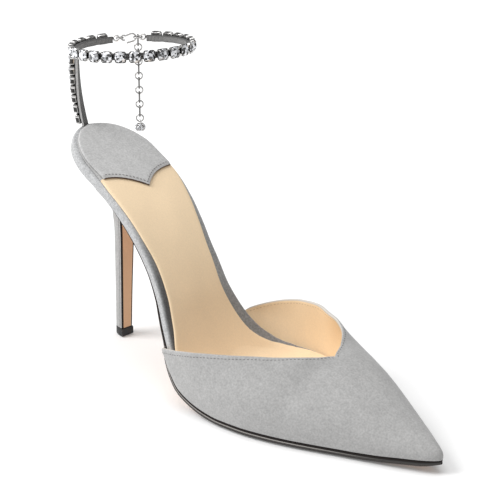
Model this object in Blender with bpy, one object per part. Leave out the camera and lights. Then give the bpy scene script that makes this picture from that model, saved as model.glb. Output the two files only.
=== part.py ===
"""Right heeled shoe with an ankle strap of set crystals: closed toe, open waist and back, slim heel.

The frame is the shoe's own: +X runs to the toe, +Y to the inner side of the foot and +Z up. The origin lies
on the floor, on the resting face of the heel's top piece. All sizes here are in millimetres, and every point
is turned into metres where its mesh or curve is made.
"""
import math

import bmesh
import bpy
import numpy as np
from mathutils import Vector

for stale in list(bpy.data.objects):
    bpy.data.objects.remove(stale, do_unlink=True)

MM = 0.001
OUTER = -1
INNER = 1

# Thicknesses and clearances
GAP = 0.3
SOCK_THICK = 1.0
PAD_THICK = 1.2
WALL = 1.6
FLAP_THICK = 1.5
UPPER_OVERHANG = 0.4
BOARD_ROUND = 1.2

# Heel seat, rounded at the back
SEAT_ROUND_X = 2.0
SEAT_BACK_X = -27.6
STRAP_RIM = 2.4

# Heel column and top piece
TIP_Y = -0.8
TOP_PIECE_HEIGHT = 4.3
FLARE_START_Z = 66.0
FLARE_POWER = 2.6

# Heel pad: where its bracket edge meets the sides, and how far its point reaches
PAD_SIDE_X = {OUTER: 7.0, INNER: 12.0}
PAD_POINT_X = 19.0
PAD_CURVE = 1.7

# Ankle loop: an oval, long axis across the view from the shoe's outer front quarter
LOOP_CENTRE = (3.2, 6.2, 149.1)
LOOP_LONG = (0.698, 0.716, 0.038)
LOOP_LONG_HALF = 26.4
LOOP_SHORT_HALF = 23.8
LOOP_TILT = 0.105
BAND_WIDE = 3.8
STRAP_FOOT_FACING = (-0.97, -0.24, 0.0)
BAND_THICK = 1.5

# Crystals in their cups
STONE_RADIUS = 2.65
STONE_PITCH = 6.3
CUP_HIGH = 1.9
CROWN_HIGH = 2.9
BACK_STONES = 7
BACK_FIRST = 3.6

# Fastening: wire sizes of the eyes, rings and hook
EYE_RADIUS = 1.35
EYE_WIRE = 0.45
RING_WIRE = 0.4
HOOK_RING_RADIUS = 1.5
HOOK_EYE_RADIUS = 1.2
HOOK_BEND_RADIUS = 1.9
HOOK_LONG = 4.0
CATCH_RADIUS = 2.0
WIRE_PLAY = 0.12
EYE_START_ANGLE = 249.0

# Extension chain
CHAIN_PAIRS = 6
CHAIN_RING_RADIUS = 1.75
CHAIN_RING_WIRE = 0.35
LINK_HALF_LONG = 2.65
LINK_HALF_WIDE = 1.15
LINK_WIRE = 0.3
DROP_HALF = (1.7, 2.7, 2.1)


class Table:
    """Rows of sizes under named columns, read between rows by cubic pieces that never overshoot."""

    def __init__(self, columns, rows):
        self.columns = columns
        self.rows = np.array(rows, dtype=float)

    def at(self, column, x):
        xs = self.rows[:, 0]
        ys = self.rows[:, self.columns.index(column)]
        steps = np.diff(xs)
        rises = np.diff(ys) / steps
        slopes = np.empty(len(xs))
        slopes[0] = rises[0]
        slopes[-1] = rises[-1]
        for i in range(1, len(xs) - 1):
            if rises[i - 1] * rises[i] <= 0.0:
                slopes[i] = 0.0
            else:
                before = 2.0 * steps[i] + steps[i - 1]
                after = steps[i] + 2.0 * steps[i - 1]
                slopes[i] = (before + after) / (before / rises[i - 1] + after / rises[i])
        i = int(np.clip(np.searchsorted(xs, x) - 1, 0, len(xs) - 2))
        t = (x - xs[i]) / steps[i]
        start = (1 + 2 * t) * (1 - t) ** 2 * ys[i] + t * (1 - t) ** 2 * steps[i] * slopes[i]
        stop = t * t * (3 - 2 * t) * ys[i + 1] + t * t * (t - 1) * steps[i] * slopes[i + 1]
        return float(start + stop)


# Long section and plan of the sole: x along the shoe, z of the foot bed, thickness of board and outsole,
# y of the board's and the outsole's edges on the outer and inner side, and the rim left bare beside the sock
# on each side
SOLE = Table(
    ("x", "z", "board", "sole", "board_out", "board_in", "sole_out", "sole_in", "rim_out", "rim_in"),
    [
        (-28.0, 105.2, 4.2, 1.6, -20.8, 23.4, -19.6, 22.0, 0.9, 0.9),
        (-14.0, 99.8, 4.2, 1.6, -20.8, 23.4, -19.6, 22.0, 0.9, 0.9),
        (0.0, 93.9, 4.2, 1.6, -20.8, 23.5, -19.6, 22.1, 0.9, 0.9),
        (15.0, 87.0, 4.2, 1.6, -20.9, 23.0, -19.6, 21.6, 1.1, 1.6),
        (29.0, 78.5, 4.2, 1.6, -21.3, 20.9, -20.3, 19.6, 1.6, 2.5),
        (40.0, 69.4, 4.2, 1.6, -21.6, 18.6, -20.8, 17.3, 2.1, 3.5),
        (50.0, 58.2, 4.2, 1.6, -22.1, 16.9, -21.4, 15.7, 3.2, 4.4),
        (58.0, 46.2, 4.2, 1.7, -23.3, 16.9, -22.9, 15.9, 3.4, 5.4),
        (65.0, 34.0, 4.2, 2.0, -25.7, 19.4, -26.2, 19.0, 3.0, 6.4),
        (72.0, 23.8, 4.1, 2.6, -28.2, 22.8, -29.7, 23.8, 1.0, 6.0),
        (77.0, 18.0, 3.7, 3.1, -29.8, 25.6, -31.5, 27.0, 0.5, 4.6),
        (82.0, 13.4, 3.0, 3.6, -30.6, 28.6, -32.3, 30.2, 0.4, 2.6),
        (94.0, 8.4, 1.9, 3.8, -30.0, 34.0, -31.7, 35.6, 0.4, 0.4),
        (104.0, 7.0, 1.6, 3.8, -28.9, 35.8, -30.6, 37.4, 0.4, 0.4),
        (117.0, 7.0, 1.6, 3.8, -26.6, 35.4, -28.3, 37.0, 0.4, 0.4),
        (128.0, 7.0, 1.6, 3.8, -23.1, 34.2, -24.8, 35.8, 0.4, 0.4),
        (139.4, 7.0, 1.6, 3.8, -18.4, 31.7, -20.1, 33.3, 0.4, 0.4),
        (150.0, 7.0, 1.6, 3.8, -13.2, 29.1, -14.9, 30.7, 0.4, 0.4),
        (162.0, 7.0, 1.6, 3.8, -7.0, 25.5, -8.7, 27.1, 0.4, 0.4),
        (174.0, 7.4, 1.6, 3.7, -1.2, 21.7, -2.8, 23.3, 0.4, 0.4),
        (184.0, 8.2, 1.6, 3.6, 4.0, 18.5, 2.4, 20.1, 0.4, 0.4),
        (191.0, 8.8, 1.6, 3.5, 7.6, 16.1, 6.0, 17.7, 0.4, 0.4),
        (196.0, 9.3, 1.6, 3.4, 10.5, 14.2, 8.9, 15.8, 0.4, 0.4),
        (198.6, 9.5, 1.6, 3.4, 12.0, 13.4, 11.1, 14.4, 0.4, 0.4),
        (199.6, 9.6, 1.6, 3.4, 12.5, 13.1, 12.4, 13.2, 0.4, 0.4),
    ],
)
BOARD_END_X = 188.0
SOCK_END_X = 186.0
SOLE_STATIONS = [
    199.6, 198.6, 196.0, 191.0, 184.0, 176.0, 168.0, 162.0, 155.0, 148.0, 141.0, 134.0, 127.0, 120.0, 112.0,
    104.0, 100.0, 96.0, 92.0, 88.0, 84.0, 80.0, 76.0, 72.0, 68.0, 64.0, 60.0, 56.0, 52.0, 48.0, 44.0, 40.0,
    36.0, 29.0, 22.0, 16.0,
]
EDGE_CUT_IN = 1.0
FLAP_CUT_IN = 0.65
EDGE_CUT_UP = 0.3

# Upper, by the sole station that each section stands on. Behind the throat the rows give the topline of each
# side, the angle of the leather there from level, how far the section bellies out above the sole and how far
# its curve is pulled out below the top. Past the throat both sides meet in the ridge of the vamp
UPPER_COLUMNS = ("x", "top_x", "top_y", "top_z", "lean", "belly", "pull")
THROAT_STATION = 138.0
TOPLINE_ROWS = {
    OUTER: [
        (69.5, 65.0, -30.2, 24.8, 95.0, 1.0, 0.40),
        (71.5, 66.6, -31.8, 25.6, 95.0, 2.0, 0.40),
        (74.0, 69.0, -32.8, 26.6, 94.0, 2.4, 0.40),
        (80.0, 77.0, -33.4, 28.7, 91.0, 2.6, 0.40),
        (88.0, 86.0, -32.8, 31.1, 84.0, 2.8, 0.40),
        (97.0, 96.0, -29.2, 32.9, 72.0, 3.0, 0.42),
        (107.0, 106.0, -23.8, 34.1, 58.0, 3.4, 0.44),
        (117.0, 116.9, -16.2, 35.1, 40.0, 4.0, 0.46),
        (127.0, 127.0, -5.7, 35.1, 22.0, 4.6, 0.50),
        (133.0, 133.2, 3.0, 34.6, 14.0, 5.0, 0.53),
    ],
    INNER: [
        (69.5, 63.6, 25.0, 27.4, 95.0, 1.0, 0.40),
        (71.5, 65.0, 28.8, 28.2, 96.0, 3.0, 0.40),
        (74.0, 67.5, 33.0, 29.2, 97.0, 5.0, 0.40),
        (80.0, 75.0, 38.4, 31.8, 96.0, 6.0, 0.40),
        (88.0, 85.0, 41.0, 34.3, 94.0, 5.5, 0.40),
        (97.0, 95.0, 41.2, 35.7, 88.0, 4.6, 0.40),
        (107.0, 106.0, 38.0, 36.1, 76.0, 4.4, 0.42),
        (117.0, 116.5, 33.4, 37.4, 55.0, 4.4, 0.42),
        (127.0, 126.5, 26.4, 37.3, 26.0, 4.6, 0.46),
        (133.0, 132.5, 18.8, 35.4, 6.0, 6.6, 0.54),
    ],
}
RIDGE = Table(
    ("x", "top_x", "top_y", "top_z", "lean_out", "lean_in", "belly_out", "belly_in", "pull"),
    [
        (138.0, 137.3, 10.8, 33.7, 9.0, -10.0, 5.0, 8.4, 0.58),
        (146.0, 146.0, 11.1, 31.8, 11.0, -10.0, 5.0, 8.2, 0.58),
        (158.0, 158.0, 11.6, 28.0, 13.0, -4.0, 4.6, 8.0, 0.58),
        (170.0, 170.0, 12.1, 23.4, 18.0, 4.0, 4.0, 7.0, 0.56),
        (182.0, 182.0, 12.5, 18.3, 20.0, 10.0, 3.4, 5.4, 0.52),
        (191.0, 191.0, 12.8, 14.6, 22.0, 14.0, 3.0, 4.2, 0.50),
        (196.0, 196.0, 12.8, 12.4, 24.0, 18.0, 3.0, 3.6, 0.46),
        (198.6, 198.6, 12.8, 10.8, 26.0, 22.0, 3.0, 3.2, 0.42),
        (199.6, 199.6, 12.8, 9.2, 28.0, 28.0, 3.0, 3.0, 0.40),
    ],
)
UPPER = {}
for side, lean, belly in ((OUTER, "lean_out", "belly_out"), (INNER, "lean_in", "belly_in")):
    rows = [row for row in TOPLINE_ROWS[side]]
    for x in RIDGE.rows[:, 0]:
        rows.append([RIDGE.at(column, x) for column in ("x", "top_x", "top_y", "top_z", lean, belly, "pull")])
    UPPER[side] = Table(UPPER_COLUMNS, rows)
UPPER_STATIONS = [
    69.5, 71.5, 74.0, 77.0, 80.0, 84.0, 88.0, 92.5, 97.0, 102.0, 107.0, 112.0, 117.0, 122.0, 127.0, 130.5,
    134.0, 138.0, 142.0, 147.0, 153.0, 160.0, 168.0, 176.0, 184.0, 191.0, 196.0, 198.6, 199.6,
]
UPPER_ACROSS = 7
INNER_TOE_X = 189.0
INNER_TOE_SQUEEZE = 0.35

# Heel column: height, x of the flap's face, x of the back and half width
HEEL = Table(
    ("z", "front", "back", "half"),
    [
        (4.6, 2.0, -5.0, 3.3),
        (25.0, 3.0, -4.4, 3.6),
        (45.0, 4.1, -3.8, 4.0),
        (58.0, 4.8, -3.5, 4.3),
        (66.0, 5.1, -4.2, 4.8),
    ],
)
HEEL_LEVELS = [4.6, 15.0, 25.0, 35.0, 45.0, 52.0, 58.0, 66.0]
FLARE_STEPS = [0.22, 0.42, 0.6, 0.76, 0.9, 1.0]
HEEL_TOP_FRONT = 5.3
HEEL_TOP_BACK = -25.6
HEEL_ARC_POINTS = 12
HEEL_ROUND = 2.3

# Colours and finish: colour, roughness, metallic
FINISH = {
    "suede": ((0.50, 0.485, 0.475), 0.95, 0.0),
    "lining": ((0.78, 0.64, 0.46), 0.6, 0.0),
    "sole_leather": ((0.47, 0.29, 0.17), 0.5, 0.0),
    "rubber": ((0.015, 0.013, 0.012), 0.5, 0.0),
    "crystal": ((0.75, 0.77, 0.80), 0.1, 0.3),
    "metal": ((0.62, 0.61, 0.60), 0.25, 1.0),
}

shoe_collection = bpy.data.collections.new("heeled_ankle_strap_shoe")
bpy.context.scene.collection.children.link(shoe_collection)
cutter_collection = bpy.data.collections.new("joining_shapes")
bpy.context.scene.collection.children.link(cutter_collection)
shoe_empty = bpy.data.objects.new("shoe", None)
shoe_collection.objects.link(shoe_empty)


def finish_for(node, finish):
    """Material of one node."""
    colour, roughness, metallic = FINISH[finish]
    material = bpy.data.materials.new(node)
    material.use_nodes = True
    shader = material.node_tree.nodes["Principled BSDF"]
    shader.inputs["Base Color"].default_value = (*colour, 1.0)
    shader.inputs["Roughness"].default_value = roughness
    shader.inputs["Metallic"].default_value = metallic
    return material


def add_node(node, data, finish, parent=None, smooth_angle=35.0):
    """Place one piece in the shoe's collection under its empty."""
    piece = bpy.data.objects.new(node, data)
    if finish:
        data.materials.append(finish_for(node, finish))
    shoe_collection.objects.link(piece)
    piece.parent = parent or shoe_empty
    if isinstance(data, bpy.types.Mesh):
        data.shade_smooth()
        data.set_sharp_from_angle(angle=math.radians(smooth_angle))
    return piece


def mesh_from(name, form):
    """Mesh from a bmesh in millimetres, with its faces turned outward."""
    bmesh.ops.recalc_face_normals(form, faces=form.faces)
    for vertex in form.verts:
        vertex.co *= MM
    mesh = bpy.data.meshes.new(name)
    form.to_mesh(mesh)
    form.free()
    return mesh


def loft(name, rings):
    """Closed solid through rings with the same number of points, filled at both ends."""
    form = bmesh.new()
    grid = [[form.verts.new(point) for point in ring] for ring in rings]
    count = len(rings[0])
    for near, far in zip(grid, grid[1:]):
        for i in range(count):
            j = (i + 1) % count
            form.faces.new((near[i], near[j], far[j], far[i]))
    form.faces.new(grid[0])
    form.faces.new(grid[-1])
    return mesh_from(name, form)


def bed_slope(x):
    """Slope of the foot bed at x."""
    return (SOLE.at("z", x + 0.05) - SOLE.at("z", x - 0.05)) / 0.1


def layer(x, depth):
    """Point (x, z) of the long section at a depth below the foot bed, square to it."""
    slope = bed_slope(x)
    length = math.hypot(1.0, slope)
    return x + depth * slope / length, SOLE.at("z", x) - depth / length


def board_top():
    return SOCK_THICK + GAP


def board_bottom(x):
    return board_top() + SOLE.at("board", x)


def sole_top(x):
    return board_bottom(x) + GAP


def seat_edge(side, x, inset):
    """Edge of the bed at x on one side, moved in by inset and rounded at the back of the heel."""
    column = "board_out" if side == OUTER else "board_in"
    if x >= SEAT_ROUND_X:
        return SOLE.at(column, x) - side * inset
    wide_out = SOLE.at("board_out", SEAT_ROUND_X)
    wide_in = SOLE.at("board_in", SEAT_ROUND_X)
    middle = (wide_out + wide_in) / 2
    half = (wide_in - wide_out) / 2 - inset
    reach = SEAT_ROUND_X - SEAT_BACK_X - inset
    back = min((SEAT_ROUND_X - x) / reach, 1.0)
    return middle + side * half * math.sqrt(1.0 - back * back)


def bed_stations(end_x, back_inset):
    """Stations along the bed from the rounded back of the seat to end_x, closer where it bends."""
    reach = SEAT_ROUND_X - SEAT_BACK_X - back_inset
    angles = (82, 72, 61, 50, 38, 25, 12)
    stations = [SEAT_ROUND_X - reach * math.sin(math.radians(angle)) for angle in angles]
    x = SEAT_ROUND_X
    while x < end_x - 2.0:
        stations.append(x)
        x += 4.0 if 34.0 < x < 100.0 else 7.0
    return stations + [end_x]


# Outsole, with its flap down the front of the heel

def station_where(depth_of, target_x):
    """Bed station whose point at the given depth stands at target_x."""
    low, high = 0.0, 30.0
    for _ in range(40):
        middle = (low + high) / 2
        if layer(middle, depth_of(middle))[0] < target_x:
            low = middle
        else:
            high = middle
    return (low + high) / 2


def sole_bottom(x):
    return sole_top(x) + SOLE.at("sole", x)


corner_face = station_where(sole_bottom, HEEL_TOP_FRONT)
corner_back = station_where(sole_top, HEEL_TOP_FRONT - FLAP_THICK)
CORNER_Z = layer(corner_face, sole_bottom(corner_face))[1]
CORNER_OUT = SOLE.at("sole_out", corner_face)
CORNER_IN = SOLE.at("sole_in", corner_face)


def breast(level):
    """Flap face x, z and the two side y values, for a height on the column or a flare step above it."""
    if level > 1.0:
        half = HEEL.at("half", level)
        return HEEL.at("front", level), level, TIP_Y - half, TIP_Y + half
    start = HEEL.rows[-1]
    share = level ** FLARE_POWER
    face = start[1] + (HEEL_TOP_FRONT - start[1]) * level
    z = FLARE_START_Z + (CORNER_Z - FLARE_START_Z) * level
    out = (TIP_Y - start[3]) * (1 - share) + CORNER_OUT * share
    inward = (TIP_Y + start[3]) * (1 - share) + CORNER_IN * share
    return face, z, out, inward


def sole_ring(low, high, out, inward, cut_in):
    """Section of the outsole, with its lower edges cut back, from two points (x, z) and its side edges."""
    cut = min(cut_in, (inward - out) * 0.4)
    rise = EDGE_CUT_UP
    mid = (low[0] + (high[0] - low[0]) * rise, low[1] + (high[1] - low[1]) * rise)
    return [(low[0], out + cut, low[1]), (low[0], inward - cut, low[1]), (mid[0], inward, mid[1]),
            (high[0], inward, high[1]), (high[0], out, high[1]), (mid[0], out, mid[1])]


def outsole_rings():
    rings = []
    for x in SOLE_STATIONS:
        low = layer(x, sole_bottom(x))
        high = layer(x, sole_top(x))
        cut_in = EDGE_CUT_IN * SOLE.at("sole", x)
        rings.append(sole_ring(low, high, SOLE.at("sole_out", x), SOLE.at("sole_in", x), cut_in))
    low = layer(corner_face, sole_bottom(corner_face))
    high = layer(corner_back, sole_top(corner_back))
    rings.append(sole_ring(low, high, CORNER_OUT, CORNER_IN, FLAP_CUT_IN * FLAP_THICK))
    for level in FLARE_STEPS[-2::-1] + HEEL_LEVELS[::-1]:
        face, z, out, inward = breast(level)
        rings.append(sole_ring((face, z), (face - FLAP_THICK, z), out, inward, FLAP_CUT_IN * FLAP_THICK))
    return rings


add_node("outsole", loft("outsole", outsole_rings()), "sole_leather")


# Insole board with rounded edges, and the sock on it

def board_ring(x):
    top = board_top()
    bottom = board_bottom(x)
    out = seat_edge(OUTER, x, 0.0)
    inward = seat_edge(INNER, x, 0.0)
    bevel = min(BOARD_ROUND, (inward - out) / 4, 0.4 * (bottom - top))
    profile = [(out + bevel, top), (inward - bevel, top), (inward, top + bevel), (inward, bottom - bevel),
               (inward - bevel, bottom), (out + bevel, bottom), (out, bottom - bevel), (out, top + bevel)]
    ring = []
    for y, depth in profile:
        px, pz = layer(x, depth)
        ring.append((px, y, pz))
    return ring


board_rings = [board_ring(x) for x in bed_stations(BOARD_END_X, 0.0)]
add_node("insole_board", loft("insole_board", board_rings), "suede")


def sock_inset(side, x):
    """Rim beside the sock, wider round the heel seat where the pad and the strap sit."""
    rim = SOLE.at("rim_out" if side == OUTER else "rim_in", x)
    share = min(1.0, max(0.0, (x - SEAT_ROUND_X) / 14.0))
    return STRAP_RIM + (rim - STRAP_RIM) * share


def sock_ring(x):
    ring = []
    for depth, order in ((0.0, (OUTER, INNER)), (SOCK_THICK, (INNER, OUTER))):
        px, pz = layer(x, depth)
        for side in order:
            ring.append((px, seat_edge(side, x, sock_inset(side, x)), pz))
    return ring


sock_rings = [sock_ring(x) for x in bed_stations(SOCK_END_X, STRAP_RIM)]
add_node("insole_sock", loft("insole_sock", sock_rings), "lining")


# Heel pad, cut across the shoe, with a bracket-shaped front edge

def pad_ring(share):
    wide_out = seat_edge(OUTER, SEAT_ROUND_X, STRAP_RIM + 0.2)
    wide_in = seat_edge(INNER, SEAT_ROUND_X, STRAP_RIM + 0.2)
    y = (wide_out + wide_in) / 2 + share * (wide_in - wide_out) / 2
    reach = SEAT_ROUND_X - SEAT_BACK_X - STRAP_RIM - 0.2
    back = SEAT_ROUND_X - reach * math.sqrt(1.0 - share * share)
    side_x = PAD_SIDE_X[INNER if share > 0.0 else OUTER]
    front = side_x + (PAD_POINT_X - side_x) * (1.0 - abs(share)) ** PAD_CURVE
    xs = [back + (front - back) * i / 5 for i in range(6)]
    ring = []
    for depth, order in ((-GAP - PAD_THICK, xs), (-GAP, xs[::-1])):
        for x in order:
            px, pz = layer(x, depth)
            ring.append((px, y, pz))
    return ring


PAD_SHARES = (-0.98, -0.9, -0.75, -0.55, -0.35, -0.18, -0.07, 0.0, 0.07, 0.18, 0.35, 0.55, 0.75, 0.9, 0.98)
add_node("heel_pad", loft("heel_pad", [pad_ring(share) for share in PAD_SHARES]), "suede")


# Heel: flat front behind the flap, round back, flaring to the underside of the board

def d_ring(front, back, out, inward, z_at):
    """Outline with a flat front and a rounded back."""
    middle = (out + inward) / 2
    half = (inward - out) / 2
    ring = []
    for i in range(HEEL_ARC_POINTS + 1):
        angle = -math.pi / 2 + math.pi * i / HEEL_ARC_POINTS
        across = math.copysign(abs(math.sin(angle)) ** (2 / HEEL_ROUND), angle)
        along = max(math.cos(angle), 0.0) ** (2 / HEEL_ROUND)
        x = front - (front - back) * along
        ring.append((x, middle + half * across, z_at(x)))
    return ring


def seat_under(x):
    """Height of the heel's top face: just below the board."""
    low, high = -32.0, 25.0
    for _ in range(40):
        middle = (low + high) / 2
        if layer(middle, board_bottom(middle) + GAP)[0] < x:
            low = middle
        else:
            high = middle
    return layer(low, board_bottom(low) + GAP)[1]


def heel_rings():
    behind = FLAP_THICK + GAP
    rings = []
    for z in HEEL_LEVELS:
        face, _, out, inward = breast(z)
        rings.append(d_ring(face - behind, HEEL.at("back", z), out, inward, lambda x, z=z: z))
    start = rings[-1]
    front = HEEL_TOP_FRONT - behind
    top = d_ring(front, HEEL_TOP_BACK, CORNER_OUT, CORNER_IN, seat_under)
    for level in FLARE_STEPS:
        share = level ** FLARE_POWER
        ring = []
        for low, high in zip(start, top):
            x = low[0] + (high[0] - low[0]) * share
            y = low[1] + (high[1] - low[1]) * share
            ring.append((x, y, low[2] + (high[2] - low[2]) * level))
        rings.append(ring)
    return rings


add_node("heel", loft("heel", heel_rings()), "suede")


def top_piece_rings():
    low = HEEL.rows[0]
    rings = []
    for z, grow in ((0.0, -0.1), (0.5, 0.3), (TOP_PIECE_HEIGHT, 0.2)):
        half = low[3] + grow
        rings.append(d_ring(low[1] + grow, low[2] - grow, TIP_Y - half, TIP_Y + half, lambda x, z=z: z))
    return rings


add_node("top_piece", loft("top_piece", top_piece_rings()), "rubber")


# Upper: one hollow shell from half sections that stand on the outsole around the board

def outermost(side, first, second):
    return max(first, second) if side == INNER else min(first, second)


def half_section(side, station, inset):
    """Points of one half section from the sole to the topline or ridge, moved in by inset."""
    table = UPPER[side]
    stand = station
    if inset > 0.0 and station > INNER_TOE_X:
        stand = INNER_TOE_X + (station - INNER_TOE_X) * INNER_TOE_SQUEEZE
    sole_edge = SOLE.at("sole_out" if side == OUTER else "sole_in", stand)
    board_edge = SOLE.at("board_out" if side == OUTER else "board_in", stand)
    foot_y = outermost(side, sole_edge + side * UPPER_OVERHANG, board_edge + side * (GAP + WALL + 0.1))
    foot_x, foot_z = layer(stand, sole_top(stand) - GAP)
    crest = RIDGE if station >= THROAT_STATION else table
    top_x = crest.at("top_x", stand)
    top_y = crest.at("top_y", stand)
    top_z = crest.at("top_z", stand)
    lean = math.radians(table.at("lean", stand))
    belly = table.at("belly", stand) * min(1.0, (top_z - foot_z) / 12.0)
    if inset > 0.0:
        foot_y -= side * inset
        if station >= THROAT_STATION:
            top_z -= inset * 1.1
        else:
            top_y -= side * inset * math.sin(lean)
            top_z -= inset * math.cos(lean)
    high = top_z - foot_z
    handle = table.at("pull", stand) * math.hypot(high, top_y - foot_y)
    points = [
        (foot_x, foot_y, foot_z),
        (foot_x + (top_x - foot_x) / 3, foot_y + side * belly, foot_z + 0.42 * high),
        (foot_x + (top_x - foot_x) * 2 / 3, top_y + side * handle * math.cos(lean),
         top_z - handle * math.sin(lean)),
        (top_x, top_y, top_z),
    ]
    curve = []
    for i in range(UPPER_ACROSS + 1):
        t = i / UPPER_ACROSS
        weights = ((1 - t) ** 3, 3 * t * (1 - t) ** 2, 3 * t * t * (1 - t), t ** 3)
        curve.append(tuple(sum(w * point[k] for w, point in zip(weights, points)) for k in range(3)))
    return curve


def upper_mesh():
    form = bmesh.new()
    skins = {}
    for side in (OUTER, INNER):
        for name, inset in (("face", 0.0), ("lining", WALL)):
            skins[side, name] = [[form.verts.new(point) for point in half_section(side, station, inset)]
                                 for station in UPPER_STATIONS]
    last = len(UPPER_STATIONS) - 1
    throat = UPPER_STATIONS.index(THROAT_STATION)
    for side in (OUTER, INNER):
        face = skins[side, "face"]
        lining = skins[side, "lining"]
        for i in range(last):
            for j in range(UPPER_ACROSS):
                form.faces.new((face[i][j], face[i + 1][j], face[i + 1][j + 1], face[i][j + 1]))
                form.faces.new((lining[i][j], lining[i][j + 1], lining[i + 1][j + 1], lining[i + 1][j]))
            form.faces.new((face[i][0], lining[i][0], lining[i + 1][0], face[i + 1][0]))
            if i < throat:
                form.faces.new((face[i][-1], face[i + 1][-1], lining[i + 1][-1], lining[i][-1]))
        for j in range(UPPER_ACROSS):
            form.faces.new((face[0][j], face[0][j + 1], lining[0][j + 1], lining[0][j]))
    for name in ("face", "lining"):
        out = skins[OUTER, name][last]
        inward = skins[INNER, name][last]
        for j in range(UPPER_ACROSS):
            form.faces.new((out[j], inward[j], inward[j + 1], out[j + 1]))
    form.faces.new((skins[OUTER, "face"][last][0], skins[OUTER, "lining"][last][0],
                    skins[INNER, "lining"][last][0], skins[INNER, "face"][last][0]))
    bmesh.ops.remove_doubles(form, verts=form.verts, dist=0.001)
    return mesh_from("upper", form)


add_node("upper", upper_mesh(), "suede")


# Strap: back strap and ankle band, joined where they cross

LONG = Vector(LOOP_LONG).normalized()
SHORT = Vector((LONG.y, -LONG.x, LOOP_TILT)).normalized()
LOOP_UP = LONG.cross(SHORT).normalized()
if LOOP_UP.z < 0.0:
    LOOP_UP = -LOOP_UP
CENTRE = Vector(LOOP_CENTRE)


def loop_point(angle, out):
    """Point of the ankle loop at an angle in degrees, moved out from the band's middle."""
    turn = math.radians(angle)
    return (CENTRE + LONG * math.cos(turn) * (LOOP_LONG_HALF + out)
            + SHORT * math.sin(turn) * (LOOP_SHORT_HALF + out))


def loop_frame(angle, out):
    """Point, direction along the loop and direction out of it."""
    along = (loop_point(angle + 0.5, out) - loop_point(angle - 0.5, out)).normalized()
    outward = along.cross(LOOP_UP).normalized()
    if outward.dot(loop_point(angle, out) - CENTRE) < 0.0:
        outward = -outward
    return loop_point(angle, out), along, outward


STONE_OUT = BAND_THICK / 2 + GAP
EYE_OUT = STONE_OUT + 0.6
FASTENING_LONG = (
    (EYE_RADIUS + HOOK_RING_RADIUS - EYE_WIRE - RING_WIRE - WIRE_PLAY)
    + (HOOK_RING_RADIUS + HOOK_EYE_RADIUS - 2 * RING_WIRE - WIRE_PLAY)
    + HOOK_LONG
    + (HOOK_BEND_RADIUS + CATCH_RADIUS - 2 * RING_WIRE - WIRE_PLAY)
    + (CATCH_RADIUS + EYE_RADIUS - RING_WIRE - EYE_WIRE - WIRE_PLAY)
)
eye_start = loop_point(EYE_START_ANGLE, EYE_OUT)
EYE_STOP_ANGLE = EYE_START_ANGLE
while (loop_point(EYE_STOP_ANGLE, EYE_OUT) - eye_start).length < FASTENING_LONG:
    EYE_STOP_ANGLE += 0.02
eye_stop = loop_point(EYE_STOP_ANGLE, EYE_OUT)

# Turn of the loop from the eye at the chain's end, round the front, to the eye at the hook's end
FIRST_ANGLE = EYE_STOP_ANGLE - 360.0
LAST_ANGLE = EYE_START_ANGLE
turns = np.linspace(FIRST_ANGLE, LAST_ANGLE, 721)
path = [loop_point(turn, STONE_OUT) for turn in turns]
lengths = np.concatenate(([0.0], np.cumsum([(b - a).length for a, b in zip(path, path[1:])])))
LOOP_LENGTH = float(lengths[-1])


def angle_at(length):
    return float(np.interp(length, lengths, turns))


def ribbon_ring(point, width_way, thick_way, wide, thick):
    a = width_way * (wide / 2)
    b = thick_way * (thick / 2)
    return [tuple(point - a - b), tuple(point + a - b), tuple(point + a + b), tuple(point - a + b)]


EYE_STEP = EYE_RADIUS + 0.4
band_rings = []
for length in np.linspace(EYE_STEP + 0.6, LOOP_LENGTH - EYE_STEP - 0.6, 40):
    point, along, outward = loop_frame(angle_at(length), 0.0)
    band_rings.append(ribbon_ring(point, LOOP_UP, outward, BAND_WIDE, BAND_THICK))
strap_band = add_node("strap_band", loft("strap_band", band_rings), "suede")

FOOT_X = SEAT_BACK_X + 1.05
foot_x, foot_z = layer(FOOT_X, board_top())
STRAP_FOOT = Vector((FOOT_X, -0.6, foot_z + 0.8))
STRAP_TOP = loop_point(180.0, -0.2)
STRAP_CONTROLS = (
    STRAP_FOOT,
    STRAP_FOOT + Vector((-1.0, -3.0, 16.0)),
    STRAP_TOP + Vector((-3.0, 2.0, -16.0)),
    STRAP_TOP,
)


def strap_frame(t):
    """Point of the back strap, its direction and its outward side, from the seat (0) to the band (1)."""
    weights = ((1 - t) ** 3, 3 * t * (1 - t) ** 2, 3 * t * t * (1 - t), t ** 3)
    point = sum((control * w for control, w in zip(STRAP_CONTROLS, weights)), Vector((0.0, 0.0, 0.0)))
    slopes = (3 * (1 - t) ** 2, 6 * t * (1 - t), 3 * t * t)
    along = Vector((0.0, 0.0, 0.0))
    for slope, start, stop in zip(slopes, STRAP_CONTROLS, STRAP_CONTROLS[1:]):
        along += (stop - start) * slope
    along.normalize()
    facing = Vector(STRAP_FOOT_FACING).lerp(-LONG, t)
    facing = (facing - along * facing.dot(along)).normalized()
    return point, along, facing


back_rings = []
for step in range(13):
    point, along, facing = strap_frame(step / 12)
    back_rings.append(ribbon_ring(point, along.cross(facing), facing, BAND_WIDE, BAND_THICK))
back_strap = bpy.data.objects.new("back_strap_shape", loft("back_strap_shape", back_rings))


def join_shape(piece, shape):
    """Union of a piece with a shape that is kept out of the model."""
    cutter_collection.objects.link(shape)
    shape.hide_render = True
    shape.display_type = "WIRE"
    union = piece.modifiers.new("join_" + shape.name, "BOOLEAN")
    union.operation = "UNION"
    union.solver = "EXACT"
    union.object = shape


join_shape(strap_band, back_strap)


# Crystals: cups and stones in a row, each wider at its middle, with a narrow link between

STONE_STEPS = (-1.0, -0.72, 0.0, 0.72, 1.0)
LINK_HALF = 0.65
LINK_HIGH = 1.0


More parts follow.
